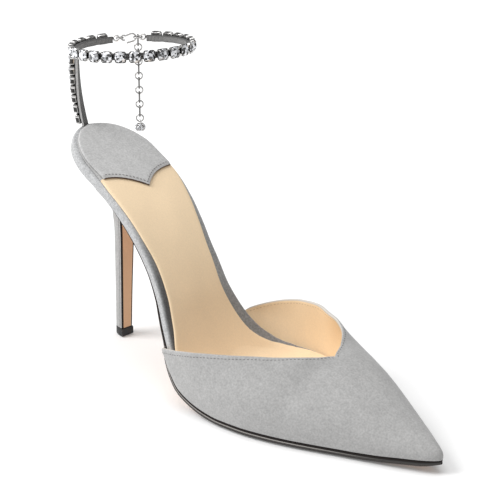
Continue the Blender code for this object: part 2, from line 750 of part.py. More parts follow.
def stone_profile(step):
    """Half width, cup height and crown height across one stone."""
    if abs(step) == 1.0:
        return LINK_HALF, LINK_HIGH - 0.1, LINK_HIGH
    wide = STONE_RADIUS * math.sqrt(1.0 - step * step)
    crown = CUP_HIGH + (CROWN_HIGH - CUP_HIGH) * (1.0 - abs(step))
    return wide, CUP_HIGH, crown


def stone_ring(point, width_way, out_way, profile):
    wide, cup, crown = profile
    table = wide * 0.55
    shape = ((-wide, 0.0), (-wide, cup), (-table, crown), (table, crown), (wide, cup), (wide, 0.0))
    return [tuple(point + width_way * across + out_way * high) for across, high in shape]


row_rings = []
stone_count = int((LOOP_LENGTH - 2 * EYE_STEP) // STONE_PITCH)
row_start = (LOOP_LENGTH - (stone_count - 1) * STONE_PITCH) / 2
for k in range(stone_count):
    for step in STONE_STEPS:
        length = row_start + k * STONE_PITCH + step * STONE_RADIUS
        point, along, outward = loop_frame(angle_at(length), STONE_OUT)
        row_rings.append(stone_ring(point, LOOP_UP, outward, stone_profile(step)))
end_profile = stone_profile(1.0)
for place, length in ((0, 0.35), (len(row_rings) + 1, LOOP_LENGTH - 0.35)):
    point, along, outward = loop_frame(angle_at(length), STONE_OUT)
    row_rings.insert(place, stone_ring(point, LOOP_UP, outward, end_profile))
crystals_ankle = add_node("crystals_ankle", loft("crystals_ankle", row_rings), "crystal")

strap_points = [strap_frame(step / 200)[0] for step in range(201)]
strap_steps = [(b - a).length for a, b in zip(strap_points, strap_points[1:])]
strap_lengths = np.concatenate(([0.0], np.cumsum(strap_steps)))
back_row = []
for k in range(BACK_STONES):
    for step in STONE_STEPS:
        share = float(np.interp(BACK_FIRST + k * STONE_PITCH + step * STONE_RADIUS, strap_lengths,
                                np.linspace(0.0, 1.0, 201)))
        point, along, facing = strap_frame(share)
        seat = point + facing * STONE_OUT
        back_row.append(stone_ring(seat, along.cross(facing), facing, stone_profile(step)))
add_node("crystals_back", loft("crystals_back", back_row), "crystal")


# Fastening: an eye at each end of the ankle row, ring, hook and catch ring

def wire(name, points, radius, cyclic):
    """Round wire through points, in millimetres."""
    curve = bpy.data.curves.new(name, "CURVE")
    curve.dimensions = "3D"
    curve.bevel_depth = radius * MM
    curve.bevel_resolution = 1
    curve.use_fill_caps = not cyclic
    spline = curve.splines.new("POLY")
    spline.points.add(len(points) - 1)
    for target, point in zip(spline.points, points):
        target.co = (point[0] * MM, point[1] * MM, point[2] * MM, 1.0)
    spline.use_cyclic_u = cyclic
    return curve


def circle(centre, first, second, radius, count=12, start=0.0, sweep=360.0):
    """Points of a circle or an arc in the plane of two directions."""
    parts = count if sweep >= 360.0 else count - 1
    points = []
    for i in range(count):
        angle = math.radians(start + sweep * i / parts)
        points.append(centre + first * radius * math.cos(angle) + second * radius * math.sin(angle))
    return points


FASTEN_WAY = (eye_stop - eye_start).normalized()
FASTEN_OUT = FASTEN_WAY.cross(LOOP_UP).normalized()
if FASTEN_OUT.dot(eye_start - CENTRE) < 0.0:
    FASTEN_OUT = -FASTEN_OUT


def eye_shape(name, centre):
    """Eye as a mesh, so that it can be joined to the row of cups."""
    bpy.ops.mesh.primitive_torus_add(major_segments=14, minor_segments=6, major_radius=EYE_RADIUS * MM,
                                     minor_radius=EYE_WIRE * MM)
    eye = bpy.context.object
    eye.name = name
    eye.rotation_euler = FASTEN_OUT.to_track_quat("Z", "Y").to_euler()
    eye.location = centre * MM
    for collection in list(eye.users_collection):
        collection.objects.unlink(eye)
    return eye


join_shape(crystals_ankle, eye_shape("eye_start_shape", eye_start))
join_shape(crystals_ankle, eye_shape("eye_stop_shape", eye_stop))

ring_centre = eye_start + FASTEN_WAY * (EYE_RADIUS + HOOK_RING_RADIUS - EYE_WIRE - RING_WIRE - WIRE_PLAY)
hook_ring_points = circle(ring_centre, FASTEN_WAY, FASTEN_OUT, HOOK_RING_RADIUS)
add_node("hook_ring", wire("hook_ring", hook_ring_points, RING_WIRE, True), "metal")

hook_eye = ring_centre + FASTEN_WAY * (HOOK_RING_RADIUS + HOOK_EYE_RADIUS - 2 * RING_WIRE - WIRE_PLAY)
hook_bend = hook_eye + FASTEN_WAY * HOOK_LONG
hook_points = circle(hook_eye, FASTEN_WAY, LOOP_UP, HOOK_EYE_RADIUS, 9, -60.0, -255.0)
hook_points += circle(hook_bend, FASTEN_WAY, LOOP_UP, HOOK_BEND_RADIUS, 8, 105.0, -190.0)
hook_points.append(hook_bend - FASTEN_WAY * 2.6 - LOOP_UP * 2.6)
add_node("hook", wire("hook", hook_points, RING_WIRE, False), "metal")

catch_centre = hook_bend + FASTEN_WAY * (HOOK_BEND_RADIUS + CATCH_RADIUS - 2 * RING_WIRE - WIRE_PLAY)
catch_ring_points = circle(catch_centre, FASTEN_WAY, FASTEN_OUT, CATCH_RADIUS, 14)
add_node("catch_ring", wire("catch_ring", catch_ring_points, RING_WIRE, True), "metal")


# Extension chain: hangs from the catch ring and swings about its wire

PIVOT = catch_centre + FASTEN_OUT * CATCH_RADIUS
chain_pivot = bpy.data.objects.new("chain_pivot", None)
shoe_collection.objects.link(chain_pivot)
chain_pivot.parent = shoe_empty
chain_pivot.location = PIVOT * MM
DOWN = Vector((0.0, 0.0, -1.0))
SIDEWAYS = Vector((FASTEN_WAY.x, FASTEN_WAY.y, 0.0)).normalized()
OUTWARD = Vector((FASTEN_OUT.x, FASTEN_OUT.y, 0.0)).normalized()


def link_points():
    """Long link: two half circles with straight sides, upright and square to the rings."""
    straight = LINK_HALF_LONG - LINK_HALF_WIDE
    origin = Vector((0.0, 0.0, 0.0))
    top = circle(origin - DOWN * straight, OUTWARD, -DOWN, LINK_HALF_WIDE, 6, 0.0, 180.0)
    bottom = circle(origin + DOWN * straight, OUTWARD, -DOWN, LINK_HALF_WIDE, 6, 180.0, 180.0)
    return top + bottom


link_curve = wire("chain_link", link_points(), LINK_WIRE, True)
link_curve.materials.append(finish_for("chain_link", "metal"))
chain_ring_points = circle(Vector((0.0, 0.0, 0.0)), SIDEWAYS, DOWN, CHAIN_RING_RADIUS)
ring_curve = wire("chain_ring", chain_ring_points, CHAIN_RING_WIRE, True)
ring_curve.materials.append(finish_for("chain_ring", "metal"))
drop = RING_WIRE + LINK_WIRE + WIRE_PLAY - LINK_HALF_LONG
hold = LINK_WIRE + CHAIN_RING_WIRE + WIRE_PLAY
for number in range(1, CHAIN_PAIRS + 1):
    link = add_node("chain_link_%d" % number, link_curve, None, chain_pivot)
    link.location = (0.0, 0.0, drop * MM)
    drop += hold - LINK_HALF_LONG - CHAIN_RING_RADIUS
    ring = add_node("chain_ring_%d" % number, ring_curve, None, chain_pivot)
    ring.location = (0.0, 0.0, drop * MM)
    drop += hold - CHAIN_RING_RADIUS - LINK_HALF_LONG

# Drop: a pebble set with small stones, on its own small eye
DROP_EYE_RADIUS = 1.0
drop_eye_z = drop + LINK_HALF_LONG - DROP_EYE_RADIUS
form = bmesh.new()
bmesh.ops.create_uvsphere(form, u_segments=12, v_segments=8, radius=1.0)
for vertex in form.verts:
    spot = vertex.co.copy()
    vertex.co = (OUTWARD * spot.x * DROP_HALF[0] + SIDEWAYS * spot.y * DROP_HALF[1]
                 - DOWN * spot.z * DROP_HALF[2])
chain_drop = add_node("chain_drop", mesh_from("chain_drop", form), "crystal", chain_pivot)
chain_drop.location = (0.0, 0.0, (drop_eye_z - DROP_EYE_RADIUS - DROP_HALF[2] + 0.35) * MM)
bpy.ops.mesh.primitive_torus_add(major_segments=12, minor_segments=6, major_radius=DROP_EYE_RADIUS * MM,
                                 minor_radius=LINK_WIRE * MM)
drop_eye = bpy.context.object
drop_eye.name = "drop_eye_shape"
drop_eye.rotation_euler = SIDEWAYS.to_track_quat("Z", "Y").to_euler()
drop_eye.location = (PIVOT - DOWN * drop_eye_z) * MM
for collection in list(drop_eye.users_collection):
    collection.objects.unlink(drop_eye)
join_shape(chain_drop, drop_eye)
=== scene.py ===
"""Looks of the right heeled ankle-strap shoe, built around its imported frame.

The frame is the shoe's own: +X runs to the toe, +Y to the inner side of the foot and +Z up. Sizes here are in
millimetres, and become metres where a mesh is made.
"""
import math
import random

import bmesh
import bpy
import numpy as np
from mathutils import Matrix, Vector


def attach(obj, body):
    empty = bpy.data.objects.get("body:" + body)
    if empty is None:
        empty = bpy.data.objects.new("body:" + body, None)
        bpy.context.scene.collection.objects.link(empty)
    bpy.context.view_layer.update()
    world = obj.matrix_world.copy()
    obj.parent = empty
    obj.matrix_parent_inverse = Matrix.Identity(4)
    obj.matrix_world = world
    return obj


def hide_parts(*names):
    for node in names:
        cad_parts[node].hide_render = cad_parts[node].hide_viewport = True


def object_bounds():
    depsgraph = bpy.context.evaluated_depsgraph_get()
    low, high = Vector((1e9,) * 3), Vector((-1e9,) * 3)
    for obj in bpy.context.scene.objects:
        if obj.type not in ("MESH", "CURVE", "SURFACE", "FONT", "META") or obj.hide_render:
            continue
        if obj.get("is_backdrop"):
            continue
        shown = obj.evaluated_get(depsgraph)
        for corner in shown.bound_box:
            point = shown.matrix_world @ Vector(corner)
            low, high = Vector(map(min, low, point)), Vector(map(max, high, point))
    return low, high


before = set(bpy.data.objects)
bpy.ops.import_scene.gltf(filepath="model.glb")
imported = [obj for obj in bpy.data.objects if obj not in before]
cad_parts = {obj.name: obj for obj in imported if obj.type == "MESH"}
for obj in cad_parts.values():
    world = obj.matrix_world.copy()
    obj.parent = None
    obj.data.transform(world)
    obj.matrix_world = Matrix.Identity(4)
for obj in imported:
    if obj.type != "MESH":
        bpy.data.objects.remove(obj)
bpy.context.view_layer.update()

MM = 0.001
OUTER = -1
INNER = 1
ENDING = {OUTER: "_out", INNER: "_in"}
SHOE = "shoe"
CHAIN = "chain"

# Thicknesses and clearances of the solids
GAP = 0.3
SOCK_THICK = 1.0
PAD_THICK = 1.2
WALL = 1.6
FLAP_THICK = 1.5
UPPER_OVERHANG = 0.4
BOARD_ROUND = 1.5
BOARD_LOW_ROUND = 0.4

# Heel seat and pad
SEAT_ROUND_X = 2.0
SEAT_BACK_X = -27.6
STRAP_RIM = 2.4
RIM_RUN = 14.0
PAD_SIDE_X = {OUTER: 9.2, INNER: 12.3}
PAD_POINT_X = 19.3
PAD_CURVE = {OUTER: 1.9, INNER: 2.5}
PAD_SOFT_EDGE = 1.3
PAD_FRONT_THIN = 0.5

# Heel and top piece
TIP_Y = -0.8
TOP_PIECE_HEIGHT = 4.3
FLARE_START_Z = 66.0
FLARE_POWER = 2.6
HEEL_TOP_FRONT = 5.3
HEEL_TOP_BACK = -25.6
HEEL_ROUND = 2.3
HEEL_ARC_POINTS = 40

# Sole edge, and where the layers end at the toe
EDGE_CUT_IN = 1.0
FLAP_CUT_IN = 0.65
EDGE_CUT_UP = 0.3
TOE_X = 199.6
BOARD_END_X = 188.0
SOCK_END_X = 186.0

# Ankle loop and back strap
LOOP_CENTRE = Vector((3.2, 6.2, 149.1))
LOOP_LONG = (0.698, 0.716, 0.038)
LOOP_LONG_HALF = 26.4
LOOP_SHORT_HALF = 23.8
LOOP_TILT = 0.105
LOOP_LOOK = 0.5
BAND_THICK = 1.5
STRAP_FOOT_FACING = (-0.97, -0.24, 0.0)
RIB_PITCH = 0.8
RIB_DEEP = 0.12
BAND_SHOWN = 3.0
BAND_LOW = 0.3
BAND_LIGHT = 0.85
# Painted shade on the band's edges; the back strap's face is painted darker as shade and its edges painted
# lighter
BAND_EDGE_PAINTED_SHADE = 0.2
BACK_STRAP_SHOWN = 3.4
BACK_STRAP_PAINTED_SHADE = 0.6
BACK_STRAP_EDGE_PAINTED_LIGHT = 1.7

# Crystals
STONE_PITCH = 6.3
BACK_STONES = 7
BACK_FIRST = 3.6

# Fastening and chain
EYE_RADIUS = 1.35
EYE_WIRE = 0.45
RING_WIRE = 0.4
HOOK_RING_RADIUS = 1.5
HOOK_EYE_RADIUS = 1.2
HOOK_BEND_RADIUS = 1.9
HOOK_LONG = 4.0
CATCH_RADIUS = 2.0
WIRE_PLAY = 0.12
EYE_START_ANGLE = 249.0
CHAIN_PAIRS = 6
CHAIN_RING_RADIUS = 1.75
CHAIN_RING_WIRE = 0.35
LINK_HALF_LONG = 2.65
LINK_HALF_WIDE = 1.15
LINK_WIRE = 0.3
DROP_HALF = (1.7, 2.7, 2.1)
DROP_EYE_RADIUS = 1.0

# Thread
STITCH_PITCH = 1.75
STITCH_HALF = (0.6, 0.2, 0.16)
TOPLINE_STITCH_DOWN = 1.3
PAD_STITCH_IN = 1.4

DRAW = random.Random(11)


class Table:
    """Rows of sizes under named columns, read between rows by cubic pieces that never overshoot."""

    def __init__(self, columns, rows):
        self.columns = columns
        self.rows = np.array(rows, dtype=float)

    def at(self, column, x):
        xs = self.rows[:, 0]
        ys = self.rows[:, self.columns.index(column)]
        steps = np.diff(xs)
        rises = np.diff(ys) / steps
        slopes = np.empty(len(xs))
        slopes[0] = rises[0]
        slopes[-1] = rises[-1]
        for i in range(1, len(xs) - 1):
            if rises[i - 1] * rises[i] <= 0.0:
                slopes[i] = 0.0
            else:
                before = 2.0 * steps[i] + steps[i - 1]
                after = steps[i] + 2.0 * steps[i - 1]
                slopes[i] = (before + after) / (before / rises[i - 1] + after / rises[i])
        i = int(np.clip(np.searchsorted(xs, x) - 1, 0, len(xs) - 2))
        t = (x - xs[i]) / steps[i]
        start = (1 + 2 * t) * (1 - t) ** 2 * ys[i] + t * (1 - t) ** 2 * steps[i] * slopes[i]
        stop = t * t * (3 - 2 * t) * ys[i + 1] + t * t * (t - 1) * steps[i] * slopes[i + 1]
        return float(start + stop)


# Long section and plan of the sole, as in the solids, with a longer inner rim beside the sock
SOLE = Table(
    ("x", "z", "board", "sole", "board_out", "board_in", "sole_out", "sole_in", "rim_out", "rim_in"),
    [
        (-28.0, 105.2, 4.2, 1.6, -20.8, 23.4, -19.6, 22.0, 0.9, 0.9),
        (-14.0, 99.8, 4.2, 1.6, -20.8, 23.4, -19.6, 22.0, 0.9, 0.9),
        (0.0, 93.9, 4.2, 1.6, -20.8, 23.5, -19.6, 22.1, 0.9, 0.9),
        (15.0, 87.0, 4.2, 1.6, -20.9, 23.0, -19.6, 21.6, 1.1, 1.6),
        (29.0, 78.5, 4.2, 1.6, -21.3, 20.9, -20.3, 19.6, 1.6, 2.5),
        (40.0, 69.4, 4.2, 1.6, -21.6, 18.6, -20.8, 17.3, 2.1, 3.5),
        (50.0, 58.2, 4.2, 1.6, -22.1, 16.9, -21.4, 15.7, 3.2, 4.4),
        (58.0, 46.2, 4.2, 1.7, -23.3, 16.9, -22.9, 15.9, 3.4, 5.4),
        (65.0, 34.0, 4.2, 2.0, -25.7, 19.4, -26.2, 19.0, 3.0, 6.3),
        (72.0, 23.8, 4.1, 2.6, -28.2, 22.8, -29.7, 23.8, 1.0, 6.6),
        (77.0, 18.0, 3.7, 3.1, -29.8, 25.6, -31.5, 27.0, 0.5, 5.5),
        (82.0, 13.4, 3.0, 3.6, -30.6, 28.6, -32.3, 30.2, 0.4, 3.2),
        (94.0, 8.4, 1.9, 3.8, -30.0, 34.0, -31.7, 35.6, 0.4, 1.3),
        (104.0, 7.0, 1.6, 3.8, -28.9, 35.8, -30.6, 37.4, 0.4, 0.6),
        (117.0, 7.0, 1.6, 3.8, -26.6, 35.4, -28.3, 37.0, 0.4, 0.4),
        (128.0, 7.0, 1.6, 3.8, -23.1, 34.2, -24.8, 35.8, 0.4, 0.4),
        (139.4, 7.0, 1.6, 3.8, -18.4, 31.7, -20.1, 33.3, 0.4, 0.4),
        (150.0, 7.0, 1.6, 3.8, -13.2, 29.1, -14.9, 30.7, 0.4, 0.4),
        (162.0, 7.0, 1.6, 3.8, -7.0, 25.5, -8.7, 27.1, 0.4, 0.4),
        (174.0, 7.4, 1.6, 3.7, -1.2, 21.7, -2.8, 23.3, 0.4, 0.4),
        (184.0, 8.2, 1.6, 3.6, 4.0, 18.5, 2.4, 20.1, 0.4, 0.4),
        (191.0, 8.8, 1.6, 3.5, 7.6, 16.1, 6.0, 17.7, 0.4, 0.4),
        (196.0, 9.3, 1.6, 3.4, 10.5, 14.2, 8.9, 15.8, 0.4, 0.4),
        (198.6, 9.5, 1.6, 3.4, 12.0, 13.4, 11.1, 14.4, 0.4, 0.4),
        (199.6, 9.6, 1.6, 3.4, 12.5, 13.1, 12.4, 13.2, 0.4, 0.4),
    ],
)

# Upper, by the sole station that each section stands on. It is as in the solids, but a little fuller beside
# the throat
UPPER_COLUMNS = ("x", "top_x", "top_y", "top_z", "lean", "belly", "pull")
THROAT_STATION = 138.0
TOPLINE_ROWS = {
    OUTER: [
        (69.5, 65.0, -30.2, 24.8, 95.0, 1.0, 0.40),
        (71.5, 66.6, -31.8, 25.6, 95.0, 2.0, 0.40),
        (74.0, 69.0, -32.8, 26.6, 94.0, 2.4, 0.40),
        (80.0, 77.0, -33.4, 28.7, 91.0, 2.6, 0.40),
        (88.0, 86.0, -32.8, 31.1, 84.0, 2.8, 0.40),
        (97.0, 96.0, -29.2, 32.9, 72.0, 3.0, 0.42),
        (107.0, 106.0, -23.8, 34.1, 58.0, 3.4, 0.44),
        (117.0, 116.9, -16.2, 35.1, 40.0, 4.0, 0.46),
        (127.0, 127.0, -5.7, 35.1, 22.0, 4.6, 0.50),
        (133.0, 133.2, 3.0, 34.6, 14.0, 5.0, 0.53),
    ],
    INNER: [
        (69.5, 63.6, 25.0, 27.4, 95.0, 1.0, 0.40),
        (71.5, 65.0, 28.8, 28.2, 96.0, 3.0, 0.40),
        (74.0, 67.5, 33.0, 29.2, 97.0, 5.0, 0.40),
        (80.0, 75.0, 38.4, 31.8, 96.0, 6.0, 0.40),
        (88.0, 85.0, 41.0, 34.3, 94.0, 5.5, 0.40),
        (97.0, 95.0, 41.2, 35.7, 88.0, 4.6, 0.40),
        (107.0, 106.0, 38.0, 36.1, 76.0, 4.4, 0.42),
        (117.0, 116.5, 33.4, 37.4, 55.0, 4.4, 0.42),
        (127.0, 126.5, 26.4, 37.3, 32.0, 4.6, 0.46),
        (133.0, 132.5, 18.8, 35.4, 6.0, 6.6, 0.54),
    ],
}
RIDGE = Table(
    ("x", "top_x", "top_y", "top_z", "lean_out", "lean_in", "belly_out", "belly_in", "pull_out", "pull_in"),
    [
        (138.0, 137.3, 10.8, 33.7, 9.0, -10.0, 5.0, 9.4, 0.58, 0.62),
        (146.0, 146.0, 11.1, 31.8, 11.0, -10.0, 5.0, 8.8, 0.58, 0.58),
        (158.0, 158.0, 11.6, 28.0, 13.0, -4.0, 4.6, 8.0, 0.58, 0.58),
        (170.0, 170.0, 12.1, 23.4, 18.0, 4.0, 4.0, 7.0, 0.56, 0.56),
        (182.0, 182.0, 12.5, 18.3, 20.0, 10.0, 3.4, 5.4, 0.52, 0.52),
        (191.0, 191.0, 12.8, 14.6, 22.0, 14.0, 3.0, 4.2, 0.50, 0.50),
        (196.0, 196.0, 12.8, 12.4, 24.0, 18.0, 3.0, 3.6, 0.46, 0.46),
        (198.6, 198.6, 12.8, 10.8, 26.0, 22.0, 3.0, 3.2, 0.42, 0.42),
        (199.6, 199.6, 12.8, 9.2, 28.0, 28.0, 3.0, 3.0, 0.40, 0.40),
    ],
)
UPPER = {}
for side, end in ENDING.items():
    rows = list(TOPLINE_ROWS[side])
    columns = ("x", "top_x", "top_y", "top_z", "lean" + end, "belly" + end, "pull" + end)
    for x in RIDGE.rows[:, 0]:
        rows.append([RIDGE.at(column, x) for column in columns])
    UPPER[side] = Table(UPPER_COLUMNS, rows)
UPPER_ACROSS = 30
INNER_TOE_X = 189.0
INNER_TOE_SQUEEZE = 0.35
RIDGE_SOFT_REACH = 7.0
RIDGE_SOFT_ROUNDS = 60

# Heel column: height, x of the flap's face, x of the back and half width
HEEL = Table(
    ("z", "front", "back", "half"),
    [
        (4.6, 2.0, -5.0, 3.3),
        (25.0, 3.0, -4.4, 3.6),
        (45.0, 4.1, -3.8, 4.0),
        (58.0, 4.8, -3.5, 4.3),
        (66.0, 5.1, -4.2, 4.8),
    ],
)


# Materials

def new_material(name):
    """Empty Principled material, with its tree and shader."""
    material = bpy.data.materials.new(name)
    material.use_nodes = True
    tree = material.node_tree
    return material, tree, tree.nodes["Principled BSDF"]


def set_sockets(node, values):
    """Constant values on a node's own sockets."""
    for name, value in values.items():
        node.inputs[name].default_value = value


def noise(tree, scale, detail, stretch=(1.0, 1.0, 1.0), distortion=0.0):
    """Noise in the piece's own metres."""
    place = tree.nodes.new("ShaderNodeTexCoord")
    mapping = tree.nodes.new("ShaderNodeMapping")
    set_sockets(mapping, {"Scale": stretch})
    texture = tree.nodes.new("ShaderNodeTexNoise")
    set_sockets(texture, {"Scale": scale, "Detail": detail, "Distortion": distortion})
    tree.links.new(place.outputs["Object"], mapping.inputs["Vector"])
    tree.links.new(mapping.outputs["Vector"], texture.inputs["Vector"])
    return texture.outputs["Fac"]


def remap(tree, value, low, high, start=0.3, stop=0.7):
    """Value from start to stop spread from low to high."""
    spread = tree.nodes.new("ShaderNodeMapRange")
    set_sockets(spread, {"From Min": start, "From Max": stop, "To Min": low, "To Max": high})
    tree.links.new(value, spread.inputs["Value"])
    return spread.outputs["Result"]


def multiply(tree, first, second):
    """Product of two values."""
    node = tree.nodes.new("ShaderNodeMath")
    node.operation = "MULTIPLY"
    tree.links.new(first, node.inputs[0])
    tree.links.new(second, node.inputs[1])
    return node.outputs[0]


def tint(tree, colour, tone):
    """Colour made lighter and darker by a tone around 1."""
    mix = tree.nodes.new("ShaderNodeMix")
    mix.data_type = "RGBA"
    mix.blend_type = "MULTIPLY"
    mix.inputs["Factor"].default_value = 1.0
    mix_inputs = [socket for socket in mix.inputs if socket.type == "RGBA"]
    mix_inputs[0].default_value = (*colour, 1.0)
    tree.links.new(tone, mix_inputs[1])
    return [socket for socket in mix.outputs if socket.type == "RGBA"][0]


def bump(tree, shader, height, strength, distance):
    """Relief from a height, distance in metres."""
    node = tree.nodes.new("ShaderNodeBump")
    set_sockets(node, {"Strength": strength, "Distance": distance})
    tree.links.new(height, node.inputs["Height"])
    tree.links.new(node.outputs["Normal"], shader.inputs["Normal"])


def attribute(tree, name):
    """Value kept on the mesh."""
    node = tree.nodes.new("ShaderNodeAttribute")
    node.attribute_name = name
    return node.outputs["Fac"]


def suede(name, colour, shaded=False, speckle=0.14):
    """Napped leather: fibres, mottling and brushed patches, with a soft sheen."""
    material, tree, shader = new_material(name)
    fibre = noise(tree, scale=1150.0, detail=3.0)
    mottle = noise(tree, scale=320.0, detail=4.0)
    brushed = noise(tree, scale=55.0, detail=3.0, stretch=(1.0, 2.4, 1.6), distortion=0.8)
    tone = remap(tree, fibre, low=1.0 - speckle, high=1.0 + speckle)
    tone = multiply(tree, tone, remap(tree, mottle, low=0.955, high=1.045))
    tone = multiply(tree, tone, remap(tree, brushed, low=0.96, high=1.04))
    if shaded:
        tone = multiply(tree, tone, attribute(tree, "shade"))
    tree.links.new(tint(tree, colour, tone), shader.inputs["Base Color"])
    set_sockets(shader, {"Roughness": 0.95, "Specular IOR Level": 0.15,
                         "Sheen Weight": 0.25, "Sheen Roughness": 0.45})
    bump(tree, shader, multiply(tree, fibre, mottle), strength=0.5, distance=0.00025)
    return material


def smooth_leather(name, colour, roughness):
    """Fine-grained leather with a satin face."""
    material, tree, shader = new_material(name)
    broad = noise(tree, scale=35.0, detail=3.0, stretch=(1.0, 1.6, 1.0), distortion=0.4)
    grain = noise(tree, scale=1300.0, detail=3.0)
    tone = multiply(tree, remap(tree, broad, low=0.965, high=1.03), remap(tree, grain, low=0.97, high=1.03))
    tree.links.new(tint(tree, colour, tone), shader.inputs["Base Color"])
    tree.links.new(remap(tree, grain, roughness - 0.06, roughness + 0.08), shader.inputs["Roughness"])
    set_sockets(shader, {"Specular IOR Level": 0.35})
    bump(tree, shader, grain, strength=0.25, distance=0.00012)
    return material


def plain(name, colour, roughness, metallic=0.0, relief=0.00005, gloss=0.5, toned=False):
    """Hard finish with slight unevenness, darker where the tones on the mesh say so."""
    material, tree, shader = new_material(name)
    uneven = noise(tree, scale=900.0, detail=3.0)
    tone = remap(tree, uneven, low=0.9, high=1.1)
    if toned:
        tone = multiply(tree, tone, attribute(tree, "tone"))
    tree.links.new(tint(tree, colour, tone), shader.inputs["Base Color"])
    tree.links.new(remap(tree, uneven, roughness * 0.85, roughness * 1.15), shader.inputs["Roughness"])
    set_sockets(shader, {"Metallic": metallic, "Specular IOR Level": gloss})
    if relief > 0.0:
        bump(tree, shader, uneven, strength=0.2, distance=relief)
    return material


def cut_crystal(name, colour):
    """Foil-backed stone: each facet carries its own painted reflection, dark or bright, as a tone on the
    mesh.
    """
    material, tree, shader = new_material(name)
    tree.links.new(tint(tree, colour, attribute(tree, "tone")), shader.inputs["Base Color"])
    set_sockets(shader, {"Metallic": 0.4, "Roughness": 0.08, "Coat Weight": 0.5, "Coat Roughness": 0.02})
    return material


GREY_SUEDE = suede("grey_suede", (0.415, 0.412, 0.408))
PAD_SUEDE = suede("pad_suede", (0.515, 0.513, 0.51))
WRAP_SUEDE = suede("wrapped_suede", (0.485, 0.49, 0.495), shaded=True, speckle=0.22)
RIBBON = suede("ribbed_ribbon", (0.30, 0.297, 0.294), shaded=True)
LINING = smooth_leather("lining_leather", (0.91, 0.71, 0.475), 0.5)
FOLD = smooth_leather("folded_edge", (0.60, 0.565, 0.52), 0.7)
SOLE_TAN = smooth_leather("sole_leather", (0.52, 0.31, 0.175), 0.45)
FLAP_TAN = smooth_leather("flap_leather", (0.72, 0.455, 0.275), 0.45)
EDGE_PAINT = plain("edge_paint", (0.014, 0.010, 0.009), 0.55, gloss=0.2)
EDGE_LOW = plain("edge_low", (0.05, 0.046, 0.043), 0.5, gloss=0.3)
EDGE_LINE = plain("edge_line", (0.36, 0.34, 0.32), 0.5, toned=True)
CUT_EDGE = plain("cut_edge", (0.06, 0.03, 0.02), 0.6)
RUBBER = plain("heel_rubber", (0.016, 0.016, 0.017), 0.55, relief=0.0001)
SILVER = plain("silver_metal", (0.48, 0.475, 0.47), 0.2, metallic=1.0)
DARK_SILVER = plain("dark_silver_metal", (0.2, 0.198, 0.195), 0.3, metallic=1.0)
CUP_METAL = plain("cup_metal", (0.8, 0.79, 0.78), 0.22, metallic=1.0, relief=0.0, toned=True)
CRYSTAL = cut_crystal("cut_crystal", (0.95, 0.965, 1.0))
THREAD = plain("grey_thread", (0.19, 0.188, 0.185), 0.9)
PALE_THREAD = plain("pale_thread", (0.70, 0.545, 0.36), 0.9)


# Meshes

def make_piece(name, points, faces, materials, zones=None, body=SHOE, replaced=(), slot=None, sharp=40.0,
               shade=None, tones=None, merge=0.0):
    """Mesh object from points in millimetres, riding on a body."""
    mesh = bpy.data.meshes.new(name)
    mesh.from_pydata([tuple(c * MM for c in point) for point in points], [], faces)
    for material in materials:
        mesh.materials.append(material)
    if zones is not None:
        mesh.polygons.foreach_set("material_index", zones)
    if shade is not None:
        mesh.attributes.new("shade", "FLOAT", "POINT").data.foreach_set("value", shade)
    if tones is not None:
        mesh.attributes.new("tone", "FLOAT", "FACE").data.foreach_set("value", tones)
    form = bmesh.new()
    form.from_mesh(mesh)
    if merge > 0.0:
        bmesh.ops.remove_doubles(form, verts=form.verts, dist=merge * MM)
    bmesh.ops.recalc_face_normals(form, faces=form.faces)
    form.to_mesh(mesh)
    form.free()
    if sharp > 0.0:
        mesh.shade_smooth()
        mesh.set_sharp_from_angle(angle=math.radians(sharp))
    piece = bpy.data.objects.new(name, mesh)
    bpy.context.scene.collection.objects.link(piece)
    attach(piece, body)
    if replaced:
        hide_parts(*replaced)
    return piece


def loft(rings, zone=None, cap_zone=0):
    """Points, faces and zones of a closed solid through rings of equal length."""
    count = len(rings[0])
    points = [tuple(point) for ring in rings for point in ring]
    faces = []
    zones = []
    for i in range(len(rings) - 1):
        for j in range(count):
            k = (j + 1) % count
            faces.append((i * count + j, i * count + k, (i + 1) * count + k, (i + 1) * count + j))
            zones.append(zone(i, j) if zone else 0)
    last = (len(rings) - 1) * count
    faces.append(tuple(range(count)))
    faces.append(tuple(range(last, last + count)))
    return points, faces, zones + [cap_zone, cap_zone]


def loft_piece(name, rings, materials, zone=None, cap_zone=0, **settings):
    """Closed solid through rings, made into a piece."""
    points, faces, zones = loft(rings, zone, cap_zone)
    return make_piece(name, points, faces, materials, zones, **settings)


def sheet_faces(rows, columns):
    """Faces of an open sheet of rows and columns of points."""
    faces = []
    for i in range(rows - 1):
        for j in range(columns - 1):
            near = i * columns + j
            far = near + columns
            faces.append((near, far, far + 1, near + 1))
    return faces


class Batch:
    """Many small shapes gathered into one mesh."""

    def __init__(self):
        self.points = []
        self.faces = []
        self.zones = []
        self.tones = []
        self.shade = []

    def add(self, points, faces, zones=None, tones=None, shade=None):
        start = len(self.points)
        self.shade += list(shade) if shade is not None else [1.0] * len(points)
        self.points += [tuple(point) for point in points]
        self.faces += [tuple(start + v for v in face) for face in faces]
        self.zones += list(zones) if zones is not None else [0] * len(faces)
        self.tones += list(tones) if tones is not None else [1.0] * len(faces)

    def sheet(self, points, zones):
        """Open sheet of points in rows, with the zone of each face across a row."""
        columns = len(zones) + 1
        rows = len(points) // columns
        self.add(points, sheet_faces(rows, columns), list(zones) * (rows - 1))

    def piece(self, name, materials, **settings):
        return make_piece(name, self.points, self.faces, materials, zones=self.zones, tones=self.tones,
                          shade=self.shade, **settings)


